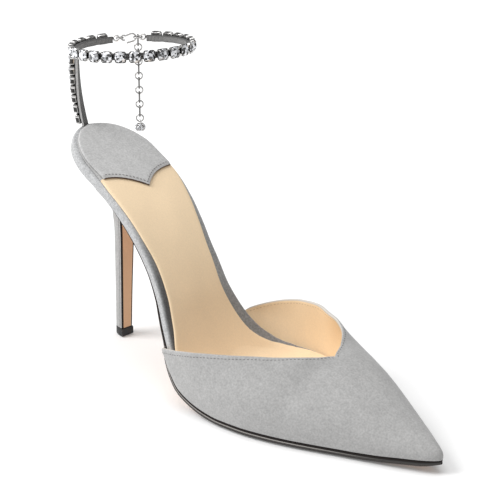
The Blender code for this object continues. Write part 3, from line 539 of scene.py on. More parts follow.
def tube(path, radius, sides=10, cyclic=True):
    """Points and faces of a round wire along a path."""
    path = [Vector(point) for point in path]
    count = len(path)
    rings = []
    normal = None
    for i in range(count):
        if cyclic:
            along = (path[(i + 1) % count] - path[i - 1]).normalized()
        else:
            along = (path[min(i + 1, count - 1)] - path[max(i - 1, 0)]).normalized()
        if normal is None:
            normal = along.orthogonal().normalized()
        normal = (normal - along * normal.dot(along)).normalized()
        across = along.cross(normal)
        ring = []
        for k in range(sides):
            turn = 2.0 * math.pi * k / sides
            ring.append(tuple(path[i] + normal * radius * math.cos(turn) + across * radius * math.sin(turn)))
        rings.append(ring)
    points = [point for ring in rings for point in ring]
    faces = []
    for i in range(count if cyclic else count - 1):
        near = i * sides
        far = ((i + 1) % count) * sides
        shift = 0
        if cyclic and i == count - 1:
            gaps = [(Vector(points[near]) - Vector(points[k])).length for k in range(sides)]
            shift = gaps.index(min(gaps))
        for k in range(sides):
            n = (k + 1) % sides
            faces.append((near + k, near + n, far + (n + shift) % sides, far + (k + shift) % sides))
    if not cyclic:
        faces.append(tuple(range(sides)))
        faces.append(tuple(range((count - 1) * sides, count * sides)))
    return points, faces


def arc(centre, first, second, radius, count, start=0.0, sweep=360.0):
    """Points of a circle or an arc in the plane of two directions."""
    parts = count if sweep >= 360.0 else count - 1
    points = []
    for i in range(count):
        turn = math.radians(start + sweep * i / parts)
        points.append(centre + first * radius * math.cos(turn) + second * radius * math.sin(turn))
    return points


def bezier(controls, t):
    """Points of a cubic curve with four controls."""
    t = np.asarray(t)[..., None]
    start, leave, reach, stop = np.array(controls, dtype=float)
    return (1 - t) ** 3 * start + 3 * t * (1 - t) ** 2 * leave + 3 * t * t * (1 - t) * reach + t ** 3 * stop


def ball(segments, rings):
    """Points and faces of a unit ball with its poles on z."""
    points = [Vector((0.0, 0.0, 1.0))]
    for i in range(1, rings):
        tilt = math.pi * i / rings
        for k in range(segments):
            turn = 2.0 * math.pi * k / segments
            wide = math.sin(tilt)
            points.append(Vector((wide * math.cos(turn), wide * math.sin(turn), math.cos(tilt))))
    points.append(Vector((0.0, 0.0, -1.0)))
    last = len(points) - 1
    faces = []
    for k in range(segments):
        n = (k + 1) % segments
        faces.append((0, 1 + k, 1 + n))
        for near in range(1, last - segments, segments):
            faces.append((near + k, near + segments + k, near + segments + n, near + n))
        faces.append((last, last - segments + n, last - segments + k))
    return points, faces


def path_lengths(path):
    """Length along a path up to each of its points."""
    steps = np.linalg.norm(np.diff(np.array(path, dtype=float), axis=0), axis=1)
    return np.concatenate([[0.0], np.cumsum(steps)])


def smooth_step(start, stop, value):
    """Share from 0 at start to 1 at stop, with soft ends."""
    t = min(1.0, max(0.0, (value - start) / (stop - start)))
    return t * t * (3.0 - 2.0 * t)


# Layers of the sole

SLOPE_STEP = 0.05
BOARD_TOP = SOCK_THICK + GAP
SEAT_TURNS = np.linspace(88.0, 3.0, 26)
BED_STEPS = 110
SEARCH_X = (-32.0, 30.0)
SEARCH_ROUNDS = 40


def bed_slope(x):
    """Steepness of the foot bed."""
    return (SOLE.at("z", x + SLOPE_STEP) - SOLE.at("z", x - SLOPE_STEP)) / (2 * SLOPE_STEP)


def layer(x, depth):
    """Point (x, z) of the long section at a depth below the foot bed, square to it."""
    slope = bed_slope(x)
    length = math.hypot(1.0, slope)
    return x + depth * slope / length, SOLE.at("z", x) - depth / length


def board_bottom(x):
    return BOARD_TOP + SOLE.at("board", x)


def sole_top(x):
    return board_bottom(x) + GAP


def sole_bottom(x):
    return sole_top(x) + SOLE.at("sole", x)


def plan(column, side, x):
    """Size in the plan of the sole, on one side."""
    return SOLE.at(column + ENDING[side], x)


def outermost(side, first, second):
    return max(first, second) if side == INNER else min(first, second)


def innermost(side, first, second):
    return min(first, second) if side == INNER else max(first, second)


def seat_edge(side, x, inset):
    """Edge of the bed at x on one side, moved in by inset and rounded at the back of the heel."""
    if x >= SEAT_ROUND_X:
        return plan("board", side, x) - side * inset
    wide_out = plan("board", OUTER, SEAT_ROUND_X)
    wide_in = plan("board", INNER, SEAT_ROUND_X)
    reach = SEAT_ROUND_X - SEAT_BACK_X - inset
    back = min((SEAT_ROUND_X - x) / reach, 1.0)
    half = ((wide_in - wide_out) / 2 - inset) * math.sqrt(1.0 - back * back)
    return (wide_out + wide_in) / 2 + side * half


def bed_stations(end_x, back_inset):
    """Stations along the bed from the rounded back of the seat to end_x."""
    reach = SEAT_ROUND_X - SEAT_BACK_X - back_inset
    stations = [SEAT_ROUND_X - reach * math.sin(math.radians(turn)) for turn in SEAT_TURNS]
    return stations + list(np.linspace(SEAT_ROUND_X, end_x, BED_STEPS))


def station_where(depth_of, target_x):
    """Bed station whose point at the given depth stands at target_x."""
    low, high = SEARCH_X
    for _ in range(SEARCH_ROUNDS):
        middle = (low + high) / 2
        if layer(middle, depth_of(middle))[0] < target_x:
            low = middle
        else:
            high = middle
    return (low + high) / 2


# Outsole with its breast flap: black edge, tan face

FLARE_STEPS = np.linspace(0.06, 1.0, 18)
HEEL_LEVELS = np.concatenate((HEEL.rows[:1, 0], np.linspace(8.0, FLARE_START_Z, 24)))
SOLE_FLAT_POINTS = 12
EDGE_CUT_MOST = 0.4
SOLE_FACE, SOLE_BLACK, SOLE_LOW, SOLE_LINE, SOLE_SUEDE, SOLE_FLAP = range(6)
EDGE_TURNS = (22.5, 45.0, 67.5, 90.0)
EDGE_UPRIGHT = ((1.0, 0.54), (1.0, 0.66), (1.0, 0.97), (0.98, 1.0))
EDGE_LINE_STEP = len(EDGE_TURNS) + 1
EDGE_LINE_FADE = 0.94
EDGE_LINE_FADE_X = (140.0, 184.0)
HEEL_EDGE_END_X = 17.0
WAIST_END_X = 70.0
WAIST_TUCK = 0.1
WAIST_TUCK_X = (WAIST_END_X - 2.0, WAIST_END_X + 1.0)
TIP_TAPER_X = 191.0
TIP_TAPER = 0.5
TOE_STEPS = (0.0, 0.4, 1.0, 2.0, 3.6, 5.6, 7.6, 9.6)
SOLE_STEPS = 120
CORNER_CLEAR = 2.0
corner_face = station_where(sole_bottom, HEEL_TOP_FRONT)
corner_back = station_where(sole_top, HEEL_TOP_FRONT - FLAP_THICK)
CORNER_Z = layer(corner_face, sole_bottom(corner_face))[1]
CORNER_OUT = plan("sole", OUTER, corner_face)
CORNER_IN = plan("sole", INNER, corner_face)


def breast(level):
    """Flap face x, z and the two side y values, for a height on the column or a flare step above it."""
    if level > 1.0:
        half = HEEL.at("half", level)
        return HEEL.at("front", level), level, TIP_Y - half, TIP_Y + half
    _, front, _, half = HEEL.rows[-1]
    share = level ** FLARE_POWER
    face = front + (HEEL_TOP_FRONT - front) * level
    z = FLARE_START_Z + (CORNER_Z - FLARE_START_Z) * level
    out = (TIP_Y - half) * (1 - share) + CORNER_OUT * share
    inward = (TIP_Y + half) * (1 - share) + CORNER_IN * share
    return face, z, out, inward


def edge_profile():
    """Share out and share up along the edge: quarter round, then upright with a thin line in it."""
    steps = []
    for turn in EDGE_TURNS:
        turn = math.radians(turn)
        steps.append((math.sin(turn), EDGE_CUT_UP * (1.0 - math.cos(turn))))
    return steps + list(EDGE_UPRIGHT)


def sole_face(x):
    """Depth of the sole's walking face, which rises to a thin edge at the toe."""
    share = max(0.0, (x - TIP_TAPER_X) / (TOE_X - TIP_TAPER_X))
    return sole_bottom(x) - TIP_TAPER * SOLE.at("sole", x) * share ** 2


def sole_side(side, x):
    """Edge of the sole, tucked in under the board along the open waist."""
    edge = plan("sole", side, x)
    under = innermost(side, edge, plan("board", side, x) - side * WAIST_TUCK)
    return under + (edge - under) * smooth_step(*WAIST_TUCK_X, x)


def sole_ring(low, high, out, inward, cut_in):
    """Section of the outsole: flat face, rounded lower edges, sides and hidden top."""
    cut = min(cut_in, (inward - out) * EDGE_CUT_MOST)
    ring = [(low[0], y, low[1]) for y in np.linspace(out + cut, inward - cut, SOLE_FLAT_POINTS)]
    profile = edge_profile()
    for side, edge, steps in ((INNER, inward, profile), (OUTER, out, profile[::-1])):
        for along, rise in steps:
            x = low[0] + (high[0] - low[0]) * rise
            z = low[1] + (high[1] - low[1]) * rise
            ring.append((x, edge - side * cut * (1.0 - along), z))
    return ring


def outsole():
    stations = [TOE_X - step for step in TOE_STEPS]
    stations += list(np.linspace(BOARD_END_X, corner_face + CORNER_CLEAR, SOLE_STEPS))
    rings = []
    for x in stations:
        rings.append(sole_ring(layer(x, sole_face(x)), layer(x, sole_top(x)), sole_side(OUTER, x),
                               sole_side(INNER, x), EDGE_CUT_IN * SOLE.at("sole", x)))
    flap_start = len(rings)
    flap_cut = FLAP_CUT_IN * FLAP_THICK
    rings.append(sole_ring(layer(corner_face, sole_bottom(corner_face)),
                           layer(corner_back, sole_top(corner_back)), CORNER_OUT, CORNER_IN, flap_cut))
    for level in list(FLARE_STEPS[-2::-1]) + list(HEEL_LEVELS[::-1]):
        face, z, out, inward = breast(level)
        rings.append(sole_ring((face, z), (face - FLAP_THICK, z), out, inward, flap_cut))
    edge_steps = len(edge_profile())

    def zone(i, j):
        if j < SOLE_FLAT_POINTS - 1:
            return SOLE_FLAP if i >= flap_start else SOLE_FACE
        step = j - (SOLE_FLAT_POINTS - 1)
        if step > edge_steps:
            step = 2 * edge_steps - step
        if i >= flap_start:
            return SOLE_BLACK if step < len(EDGE_TURNS) else SOLE_SUEDE
        if stations[i] < HEEL_EDGE_END_X:
            return SOLE_SUEDE
        if stations[i] < WAIST_END_X:
            return SOLE_BLACK
        if step == EDGE_LINE_STEP:
            return SOLE_LINE
        return SOLE_BLACK if step >= EDGE_LINE_STEP else SOLE_LOW

    tones = []
    for x in stations + [0.0] * (len(rings) - len(stations) - 1):
        tones += [1.0 - EDGE_LINE_FADE * smooth_step(*EDGE_LINE_FADE_X, x)] * len(rings[0])
    materials = [SOLE_TAN, EDGE_PAINT, EDGE_LOW, EDGE_LINE, GREY_SUEDE, FLAP_TAN]
    loft_piece("outsole_leather", rings, materials, zone, SOLE_BLACK, replaced=("outsole",),
               slot="sole_leather", tones=tones + [1.0, 1.0])


outsole()


# Insole board wrapped in suede. Its inner edge turns up against the lining, and beside the sock its upper
# face is painted darker along the waist, as painted shade

TURN_UP = Table(
    ("x", "rise"),
    [
        (40.0, 0.0),
        (58.0, 0.2),
        (66.0, 0.6),
        (70.0, 1.3),
        (75.0, 2.1),
        (80.0, 3.4),
        (88.0, 5.1),
        (96.0, 6.5),
        (104.0, 6.6),
        (117.0, 5.6),
        (128.0, 4.4),
        (139.0, 3.0),
        (162.0, 0.0),
    ],
)
TURN_UP_WIDE = 20.0
TURN_UP_POWER = 1.7
TURN_UP_REACH_X = (68.0, 92.0)
TURN_UP_CLEAR = 0.35
BOARD_TOP_POINTS = 30
BOARD_LOW_POINTS = 8
BOARD_CORNER_POINTS = 6
BOARD_FLAT_IN = 1.5
BOARD_ROUND_MOST = 0.45
# Painted shade on the rim's upper face beside the sock, per side: share, and the stations over which it grows
# in
RIM_PAINTED_SHADE = {OUTER: ((0.78, 25.0, 60.0),), INNER: ((0.36, 10.0, 48.0), (0.14, 55.0, 75.0))}
RIM_PAINTED_SHADE_POWER = 1.3


def lining_side(x, z):
    """y of the inner lining at a station and height."""
    i = min(int(np.searchsorted(UPPER_STATIONS, x)), len(UPPER_STATIONS) - 1)
    section = SKINS[INNER, "lining"][i]
    return float(np.interp(z, section[:, 2], section[:, 1]))


def bed_point(x, y, depth):
    """Point at a depth in the bed, whose inner edge is drawn up and out against the lining."""
    edge = seat_edge(INNER, x, 0.0)
    share = max(0.0, 1.0 - (edge - y) / TURN_UP_WIDE) ** TURN_UP_POWER
    if TURN_UP.rows[0, 0] < x < TURN_UP.rows[-1, 0] and share > 0.0:
        rise = TURN_UP.at("rise", x)
        reach = lining_side(x, SOLE.at("z", x) + rise) - TURN_UP_CLEAR - edge
        y += max(0.0, reach) * share * smooth_step(*TURN_UP_REACH_X, x)
        depth -= rise * share
    px, pz = layer(x, depth)
    return px, y, pz


def board_corner(side, edge, round_off, depth, first, last):
    """y, depth and share facing up along a rounded edge of the board, between two angles in degrees."""
    corner = []
    for turn in np.radians(np.linspace(first, last, BOARD_CORNER_POINTS)):
        lift = math.sin(turn)
        y = edge - side * round_off * (1.0 - math.cos(turn))
        corner.append((y, depth - round_off * lift, max(0.0, lift)))
    return corner


def rim_painted_shade(side, x):
    """Share of painted shade on the rim's upper face at a station."""
    return sum(share * smooth_step(start, stop, x) for share, start, stop in RIM_PAINTED_SHADE[side])


def insole_board():
    rings = []
    shade = []
    for x in bed_stations(BOARD_END_X, 0.0):
        bottom = board_bottom(x)
        out = seat_edge(OUTER, x, 0.0)
        inward = seat_edge(INNER, x, 0.0)
        bevel = min(BOARD_ROUND, (inward - out) / 3, BOARD_ROUND_MOST * (bottom - BOARD_TOP))
        low_bevel = min(BOARD_LOW_ROUND, bevel)
        flat_out = out + bevel * BOARD_FLAT_IN
        flat_in = inward - bevel * BOARD_FLAT_IN
        high = (bevel, BOARD_TOP + bevel)
        low = (low_bevel, bottom - low_bevel)
        profile = [(y, BOARD_TOP, 1.0) for y in np.linspace(flat_out, flat_in, BOARD_TOP_POINTS)]
        profile += board_corner(INNER, inward, *high, 90.0, 0.0)
        profile += board_corner(INNER, inward, *low, 0.0, -90.0)
        profile += [(y, bottom, 0.0) for y in np.linspace(flat_in, flat_out, BOARD_LOW_POINTS)]
        profile += board_corner(OUTER, out, *low, -90.0, 0.0)
        profile += board_corner(OUTER, out, *high, 0.0, 90.0)
        # Painted shade: the rim's upper face is darker along the waist, most where it faces up
        dark = {side: rim_painted_shade(side, x) for side in (OUTER, INNER)}
        ring = []
        for y, depth, top_facing in profile:
            if depth <= BOARD_TOP + bevel:
                ring.append(bed_point(x, y, depth))
            else:
                px, pz = layer(x, depth)
                ring.append((px, y, pz))
            side = INNER if y > (out + inward) / 2 else OUTER
            shade.append(1.0 - dark[side] * top_facing ** RIM_PAINTED_SHADE_POWER)
        rings.append(ring)
    loft_piece("insole_board_wrap", rings, [WRAP_SUEDE], replaced=("insole_board",), slot="suede",
               shade=shade)


# Sock lining, its edge hidden in suede round the pad

SOCK_EDGE = 0.7
SOCK_ROUND = ((0.0, SOCK_THICK), (0.0, 0.55), (0.25, 0.2), (1.0, 0.0))
SOCK_FLAT_POINTS = 30
SOCK_HIDDEN = 1.5
SOCK_LEATHER, SOCK_SUEDE = range(2)


def sock_inset(side, x):
    """Rim beside the sock, wider round the heel seat where the pad and the strap sit."""
    share = min(1.0, max(0.0, (x - SEAT_ROUND_X) / RIM_RUN))
    return STRAP_RIM + (plan("rim", side, x) - STRAP_RIM) * share


def sock():
    stations = bed_stations(SOCK_END_X, STRAP_RIM)
    rings = []
    for x in stations:
        out = seat_edge(OUTER, x, sock_inset(OUTER, x))
        inward = seat_edge(INNER, x, sock_inset(INNER, x))
        edge = min(SOCK_EDGE, (inward - out) / 4)
        profile = [(out + share * edge, depth) for share, depth in SOCK_ROUND]
        profile += [(y, 0.0) for y in np.linspace(out + edge, inward - edge, SOCK_FLAT_POINTS + 2)[1:-1]]
        profile += [(inward - share * edge, depth) for share, depth in SOCK_ROUND[::-1]]
        rings.append([bed_point(x, y, depth) for y, depth in profile])
    edge_points = len(SOCK_ROUND)
    inner_start = len(rings[0]) - edge_points - 1

    def zone(i, j):
        if j < edge_points and stations[i] < PAD_SIDE_X[OUTER] - SOCK_HIDDEN:
            return SOCK_SUEDE
        if j >= inner_start and stations[i] < PAD_SIDE_X[INNER] - SOCK_HIDDEN:
            return SOCK_SUEDE
        return SOCK_LEATHER

    loft_piece("sock_lining", rings, [LINING, GREY_SUEDE], zone, replaced=("insole_sock",), slot="lining")


# Heel pad with a bracket-shaped front edge

PAD_ACROSS = 90
PAD_ALONG = 40
PAD_INSET = STRAP_RIM + 0.2
PAD_TURN = math.radians(80.0)
PAD_WIDE_SHARE = 0.985
PAD_HALF_WIDE = 19.0
PAD_EDGE_SHARE = 0.35
PAD_FACE, PAD_CUT = range(2)


def pad_limits(share):
    """y of a line along the pad, and the x of its back and front ends."""
    wide_out = seat_edge(OUTER, SEAT_ROUND_X, PAD_INSET)
    wide_in = seat_edge(INNER, SEAT_ROUND_X, PAD_INSET)
    y = (wide_out + wide_in) / 2 + share * (wide_in - wide_out) / 2
    back = SEAT_ROUND_X - (SEAT_ROUND_X - SEAT_BACK_X - PAD_INSET) * math.sqrt(max(0.0, 1.0 - share * share))
    side = INNER if share > 0.0 else OUTER
    front = PAD_SIDE_X[side] + (PAD_POINT_X - PAD_SIDE_X[side]) * (1.0 - abs(share)) ** PAD_CURVE[side]
    return y, back, front


def pad_point(x, y, high):
    """Point at a height above the pad's underside."""
    px, pz = layer(x, -GAP - high)
    return px, y, pz


def heel_pad():
    rings = []
    for turn in np.linspace(-1.0, 1.0, PAD_ACROSS + 1) * PAD_TURN:
        share = math.sin(turn) / math.sin(PAD_TURN) * PAD_WIDE_SHARE
        y, back, front = pad_limits(share)
        side_in = (1.0 - abs(share)) * PAD_HALF_WIDE
        xs = back + (front - back) * np.linspace(0.0, 1.0, PAD_ALONG + 1)
        ring = []
        for x in xs:
            soft = min(1.0, max(0.0, min(x - back, side_in)) / PAD_SOFT_EDGE)
            crown = math.sqrt(1.0 - (1.0 - soft) ** 2)
            high = PAD_THICK * (PAD_EDGE_SHARE + (1.0 - PAD_EDGE_SHARE) * crown)
            high -= PAD_FRONT_THIN * max(0.0, 1.0 - (front - x) / PAD_SOFT_EDGE)
            ring.append(pad_point(x, y, high))
        rings.append(ring + [pad_point(x, y, 0.0) for x in xs[::-1]])

    def zone(i, j):
        return PAD_CUT if j == PAD_ALONG else PAD_FACE

    loft_piece("heel_pad_suede", rings, [PAD_SUEDE, CUT_EDGE], zone, replaced=("heel_pad",), slot="suede")


heel_pad()


# Heel and top piece

TOP_PIECE_RINGS = (
    (0.0, -0.2),
    (0.15, 0.1),
    (0.5, 0.3),
    (TOP_PIECE_HEIGHT - 0.5, 0.25),
    (TOP_PIECE_HEIGHT - 0.12, 0.15),
    (TOP_PIECE_HEIGHT, -0.05),
)


def d_ring(front, back, out, inward, z_at):
    """Outline with a flat front and a rounded back."""
    middle = (out + inward) / 2
    half = (inward - out) / 2
    ring = []
    for i in range(HEEL_ARC_POINTS + 1):
        angle = -math.pi / 2 + math.pi * i / HEEL_ARC_POINTS
        across = math.copysign(abs(math.sin(angle)) ** (2 / HEEL_ROUND), angle)
        along = max(math.cos(angle), 0.0) ** (2 / HEEL_ROUND)
        x = front - (front - back) * along
        ring.append((x, middle + half * across, z_at(x)))
    return ring


def seat_under(x):
    """Height of the heel's top face: just below the board."""
    station = station_where(sole_top, x)
    return layer(station, sole_top(station))[1]


def heel():
    behind = FLAP_THICK + GAP
    rings = []
    for z in HEEL_LEVELS:
        face, _, out, inward = breast(z)
        rings.append(d_ring(face - behind, HEEL.at("back", z), out, inward, lambda x, z=z: z))
    start = np.array(rings[-1])
    rise = np.array(d_ring(HEEL_TOP_FRONT - behind, HEEL_TOP_BACK, CORNER_OUT, CORNER_IN, seat_under)) - start
    for level in FLARE_STEPS:
        share = level ** FLARE_POWER
        rings.append(start + rise * (share, share, level))
    loft_piece("heel_suede", rings, [GREY_SUEDE], replaced=("heel",), slot="suede")


def top_piece():
    _, front, back, half = HEEL.rows[0]
    rings = []
    for z, grow in TOP_PIECE_RINGS:
        wide = half + grow
        rings.append(d_ring(front + grow, back - grow, TIP_Y - wide, TIP_Y + wide, lambda x, z=z: z))
    loft_piece("top_piece_rubber", rings, [RUBBER], replaced=("top_piece",), slot="rubber")


heel()
top_piece()


# Upper

FOOT_CLEAR = 0.1
BELLY_FULL_HEIGHT = 12.0
BELLY_AT = 0.42
RIDGE_INSET = 1.1
RIDGE_SOFT_RUN = 12.0
RIDGE_SOFT_PULL = 0.5


def half_section(side, station, inset):
    """Points of one half section from the sole to the topline or ridge, moved in by inset."""
    table = UPPER[side]
    stand = station
    if inset > 0.0 and station > INNER_TOE_X:
        stand = INNER_TOE_X + (station - INNER_TOE_X) * INNER_TOE_SQUEEZE
    foot_y = plan("sole", side, stand) + side * UPPER_OVERHANG
    if stand < BOARD_END_X:
        foot_y = outermost(side, foot_y, plan("board", side, stand) + side * (GAP + WALL + FOOT_CLEAR))
    foot_x, foot_z = layer(stand, sole_top(stand) - GAP)
    crest = RIDGE if station >= THROAT_STATION else table
    top_x, top_y, top_z = [crest.at(column, stand) for column in ("top_x", "top_y", "top_z")]
    lean = math.radians(table.at("lean", stand))
    swell = table.at("belly", stand) * min(1.0, (top_z - foot_z) / BELLY_FULL_HEIGHT)
    if inset > 0.0:
        foot_y -= side * inset
        if station >= THROAT_STATION:
            top_z -= inset * RIDGE_INSET
        else:
            top_y -= side * inset * math.sin(lean)
            top_z -= inset * math.cos(lean)
    high = top_z - foot_z
    long = top_x - foot_x
    handle = table.at("pull", stand) * math.hypot(high, top_y - foot_y)
    controls = (
        (foot_x, foot_y, foot_z),
        (foot_x + long / 3, foot_y + side * swell, foot_z + BELLY_AT * high),
        (foot_x + long * 2 / 3, top_y + side * handle * math.cos(lean), top_z - handle * math.sin(lean)),
        (top_x, top_y, top_z),
    )
    return bezier(controls, np.linspace(0.0, 1.0, UPPER_ACROSS + 1))


def soften_ridge(out, inward, station):
    """Both half sections of the vamp, rounded where they meet."""
    whole = np.concatenate([out, inward[-2::-1]])
    middle = len(out) - 1
    away = np.linalg.norm(whole - whole[middle], axis=1)
    share = smooth_step(THROAT_STATION, THROAT_STATION + RIDGE_SOFT_RUN, station)
    weight = (share * RIDGE_SOFT_PULL * np.exp(-(away / RIDGE_SOFT_REACH) ** 2))[:, None]
    for _ in range(RIDGE_SOFT_ROUNDS):
        mean = (np.roll(whole, 1, axis=0) + np.roll(whole, -1, axis=0)) / 2
        mean[0] = whole[0]
        mean[-1] = whole[-1]
        whole = whole + (mean - whole) * weight
    return whole[:middle + 1], whole[middle:][::-1]


FAIR_FROM = 112.0
FAIR_TO = 186.0
FAIR_FADE = 12.0
FAIR_REACH = 9.0
FAIR_SPREAD = 4.5


def fair_shift(point, cloud):
    """Way from a point to the smooth surface through its neighbours in a cloud of points."""
    away = cloud - point
    distance = np.linalg.norm(away, axis=1)
    near = distance < FAIR_REACH
    away = away[near]
    weight = np.exp(-(distance[near] / FAIR_SPREAD) ** 2)
    root = np.sqrt(weight)[:, None]
    middle = (away * weight[:, None]).sum(axis=0) / weight.sum()
    ways = np.linalg.svd((away - middle) * root, full_matrices=False)[2]
    u, v, height = (away @ ways.T).T
    terms = np.stack([np.ones_like(u), u, v, u * u, u * v, v * v], axis=1)
    fit = np.linalg.lstsq(terms * root, height * root[:, 0], rcond=None)[0]
    return ways[2] * fit[0]


def fair_skin(skin):
    """One skin of the vamp, each point moved onto the smooth surface through its neighbours."""
    cloud = []
    for side in (OUTER, INNER):
        for station, section in zip(UPPER_STATIONS, SKINS[side, skin]):
            if FAIR_FROM - FAIR_REACH < station < FAIR_TO + FAIR_REACH:
                cloud.append(section)
    cloud = np.concatenate(cloud)
    for side in (OUTER, INNER):
        for i, station in enumerate(UPPER_STATIONS):
            share = smooth_step(FAIR_FROM, FAIR_FROM + FAIR_FADE, station)
            share *= 1.0 - smooth_step(FAIR_TO - FAIR_FADE, FAIR_TO, station)
            if share == 0.0:
                continue
            moved = SKINS[side, skin][i].copy()
            for j in range(1, UPPER_ACROSS + 1):
                moved[j] += fair_shift(moved[j], cloud) * share
            SKINS[side, skin][i] = moved


WING_BACK_X = 69.5
WING_X = 76.5
TOE_FINE_X = 190.0
UPPER_STATIONS = list(np.concatenate([
    np.linspace(WING_BACK_X, WING_X, 11)[:-1],
    np.linspace(WING_X, THROAT_STATION, 52)[:-1],
    np.linspace(THROAT_STATION, TOE_FINE_X, 44)[:-1],
    np.linspace(TOE_FINE_X, TOE_X, 16),
]))
THROAT = min(range(len(UPPER_STATIONS)), key=lambda i: abs(UPPER_STATIONS[i] - THROAT_STATION))
SKINS = {}
for skin, inset in (("face", 0.0), ("lining", WALL)):
    SKINS[OUTER, skin] = []
    SKINS[INNER, skin] = []
    for station in UPPER_STATIONS:
        out = half_section(OUTER, station, inset)
        inward = half_section(INNER, station, inset)
        if station > THROAT_STATION:
            out, inward = soften_ridge(out, inward, station)
        SKINS[OUTER, skin].append(out)
        SKINS[INNER, skin].append(inward)
    fair_skin(skin)

FACE_ZONE, LINING_ZONE, FOLD_ZONE = range(3)
SKIN_ZONES = {"face": FACE_ZONE, "lining": LINING_ZONE}
FOLD_TURNS = (35.0, 70.0, 110.0, 145.0)
FOLD_OUT = 0.8
FOLD_ZONES = [FACE_ZONE, FACE_ZONE, FOLD_ZONE, FOLD_ZONE, FOLD_ZONE]


def upper_edge(side):
    """Face point, lining point and outward way along the open edge, from the wing's foot to the throat."""
    face = SKINS[side, "face"]
    lining = SKINS[side, "lining"]
    edge = [(face[0][j], lining[0][j], face[0][j] - face[1][j]) for j in range(UPPER_ACROSS)]
    corner = (face[0][-1] - face[1][-1]) + (face[0][-1] - face[0][-2])
    edge.append((face[0][-1], lining[0][-1], corner))
    for i in range(1, THROAT):
        edge.append((face[i][-1], lining[i][-1], face[i][-1] - face[i][-2]))
    edge.append((face[THROAT][-1], lining[THROAT][-1], face[THROAT][-1] - face[THROAT + 1][-1]))
    return edge


def folded_edge(side):
    """Points of the leather that is folded over the open edge."""
    strip = []
    for face, lining, way in upper_edge(side):
        centre = (face + lining) / 2
        half = np.linalg.norm(face - lining) / 2
        way = way / np.linalg.norm(way)
        strip.append(face)
        for turn in np.radians(FOLD_TURNS):
            strip.append(centre + (face - centre) * math.cos(turn) + way * half * FOLD_OUT * math.sin(turn))
        strip.append(lining)
    return strip


def upper():
    batch = Batch()
    last = len(UPPER_STATIONS) - 1
    for side in (OUTER, INNER):
        for skin, zone in SKIN_ZONES.items():
            batch.sheet(np.concatenate(SKINS[side, skin]), [zone] * UPPER_ACROSS)
        feet = []
        for face, lining in zip(SKINS[side, "face"], SKINS[side, "lining"]):
            feet += [face[0], lining[0]]
        faces = [(2 * i, 2 * i + 1, 2 * i + 3, 2 * i + 2) for i in range(last)]
        batch.add(feet, faces, [FOLD_ZONE] * last)
        batch.sheet(folded_edge(side), FOLD_ZONES)
    for skin, zone in SKIN_ZONES.items():
        toe = np.concatenate([SKINS[OUTER, skin][last], SKINS[INNER, skin][last]])
        batch.sheet(toe, [zone] * UPPER_ACROSS)
    ends = [SKINS[side, skin][last][0] for side, skin in ((OUTER, "face"), (OUTER, "lining"),
                                                          (INNER, "lining"), (INNER, "face"))]
    batch.add(ends, [(0, 1, 2, 3)], [FOLD_ZONE])
    batch.piece("upper_suede", [GREY_SUEDE, LINING, FOLD], replaced=("upper",), slot="suede",
                merge=0.002, sharp=60.0)


upper()
insole_board()
sock()


# Stitches

STITCH_REACH = 0.3
STITCH_LIFT = 0.02
PAD_STITCH_SHARES = np.linspace(-0.93, 0.93, 120)
STITCH_POINTS, STITCH_FACES = ball(8, 5)


def add_stitches(batch, line, normals):
    """Threads along a line at the stitch pitch, half sunk in the surface."""
    line = np.array(line)
    normals = np.array(normals)
    lengths = path_lengths(line)

    def along_line(values, spot):
        return Vector([float(np.interp(spot, lengths, values[:, k])) for k in range(3)])

    half_long, half_wide, half_high = STITCH_HALF
    for spot in np.arange(STITCH_PITCH / 2, lengths[-1], STITCH_PITCH):
        middle = along_line(line, spot)
        along = (along_line(line, spot + STITCH_REACH) - along_line(line, spot - STITCH_REACH)).normalized()
        normal = along_line(normals, spot)
        normal = (normal - along * normal.dot(along)).normalized()
        across = normal.cross(along)
        points = []
        for p in STITCH_POINTS:
            lift = normal * (p.y * half_high + STITCH_LIFT)
            points.append(middle + along * p.z * half_long + across * p.x * half_wide + lift)
        batch.add(points, STITCH_FACES)


def topline(side, skin, down):
    """Line at a distance below the topline on one skin, with the surface's normals."""
    line = []
    normals = []
    sheet = SKINS[side, skin]
    for i in range(THROAT + 1):
        section = sheet[i][::-1]
        lengths = path_lengths(section)
        spot = np.array([np.interp(down, lengths, section[:, k]) for k in range(3)])
        near = sheet[max(i - 1, 0)][-3]
        far = sheet[i + 1][-3]
        normal = np.cross(far - near, section[0] - section[4])
        normal = normal * side * (1.0 if skin == "face" else -1.0)
        line.append(spot)
        normals.append(normal / np.linalg.norm(normal))
    return line, normals


thread_batch = Batch()
pale_batch = Batch()
for side in (OUTER, INNER):
    for skin, target in (("face", thread_batch), ("lining", pale_batch)):
        line, normals = topline(side, skin, TOPLINE_STITCH_DOWN)
        add_stitches(target, line, normals)
line = []
normals = []
for share in PAD_STITCH_SHARES:
    y, _, front = pad_limits(share)
    x = front - PAD_STITCH_IN
    line.append(pad_point(x, y, PAD_THICK))
    normals.append((-bed_slope(x), 0.0, 1.0))
add_stitches(thread_batch, line, normals)
thread_batch.piece("grey_stitches", [THREAD], slot="suede")
pale_batch.piece("lining_stitches", [PALE_THREAD], slot="lining")


# Strap: ankle band with a ribbed inside, and back strap

LONG = Vector(LOOP_LONG).normalized()
SHORT = Vector((LONG.y, -LONG.x, LOOP_TILT)).normalized()
LOOP_UP = LONG.cross(SHORT).normalized()
if LOOP_UP.z < 0.0:
    LOOP_UP = -LOOP_UP


def loop_point(angle, out):
    """Point of the ankle loop at an angle in degrees, moved out from the band's middle."""
    turn = math.radians(angle)
    return (LOOP_CENTRE + LONG * math.cos(turn) * (LOOP_LONG_HALF + out)
            + SHORT * math.sin(turn) * (LOOP_SHORT_HALF + out))


def loop_frame(angle, out):
    """Point, direction along the loop and direction out of it."""
    along = (loop_point(angle + LOOP_LOOK, out) - loop_point(angle - LOOP_LOOK, out)).normalized()
    outward = along.cross(LOOP_UP).normalized()
    if outward.dot(loop_point(angle, out) - LOOP_CENTRE) < 0.0:
        outward = -outward
    return loop_point(angle, out), along, outward


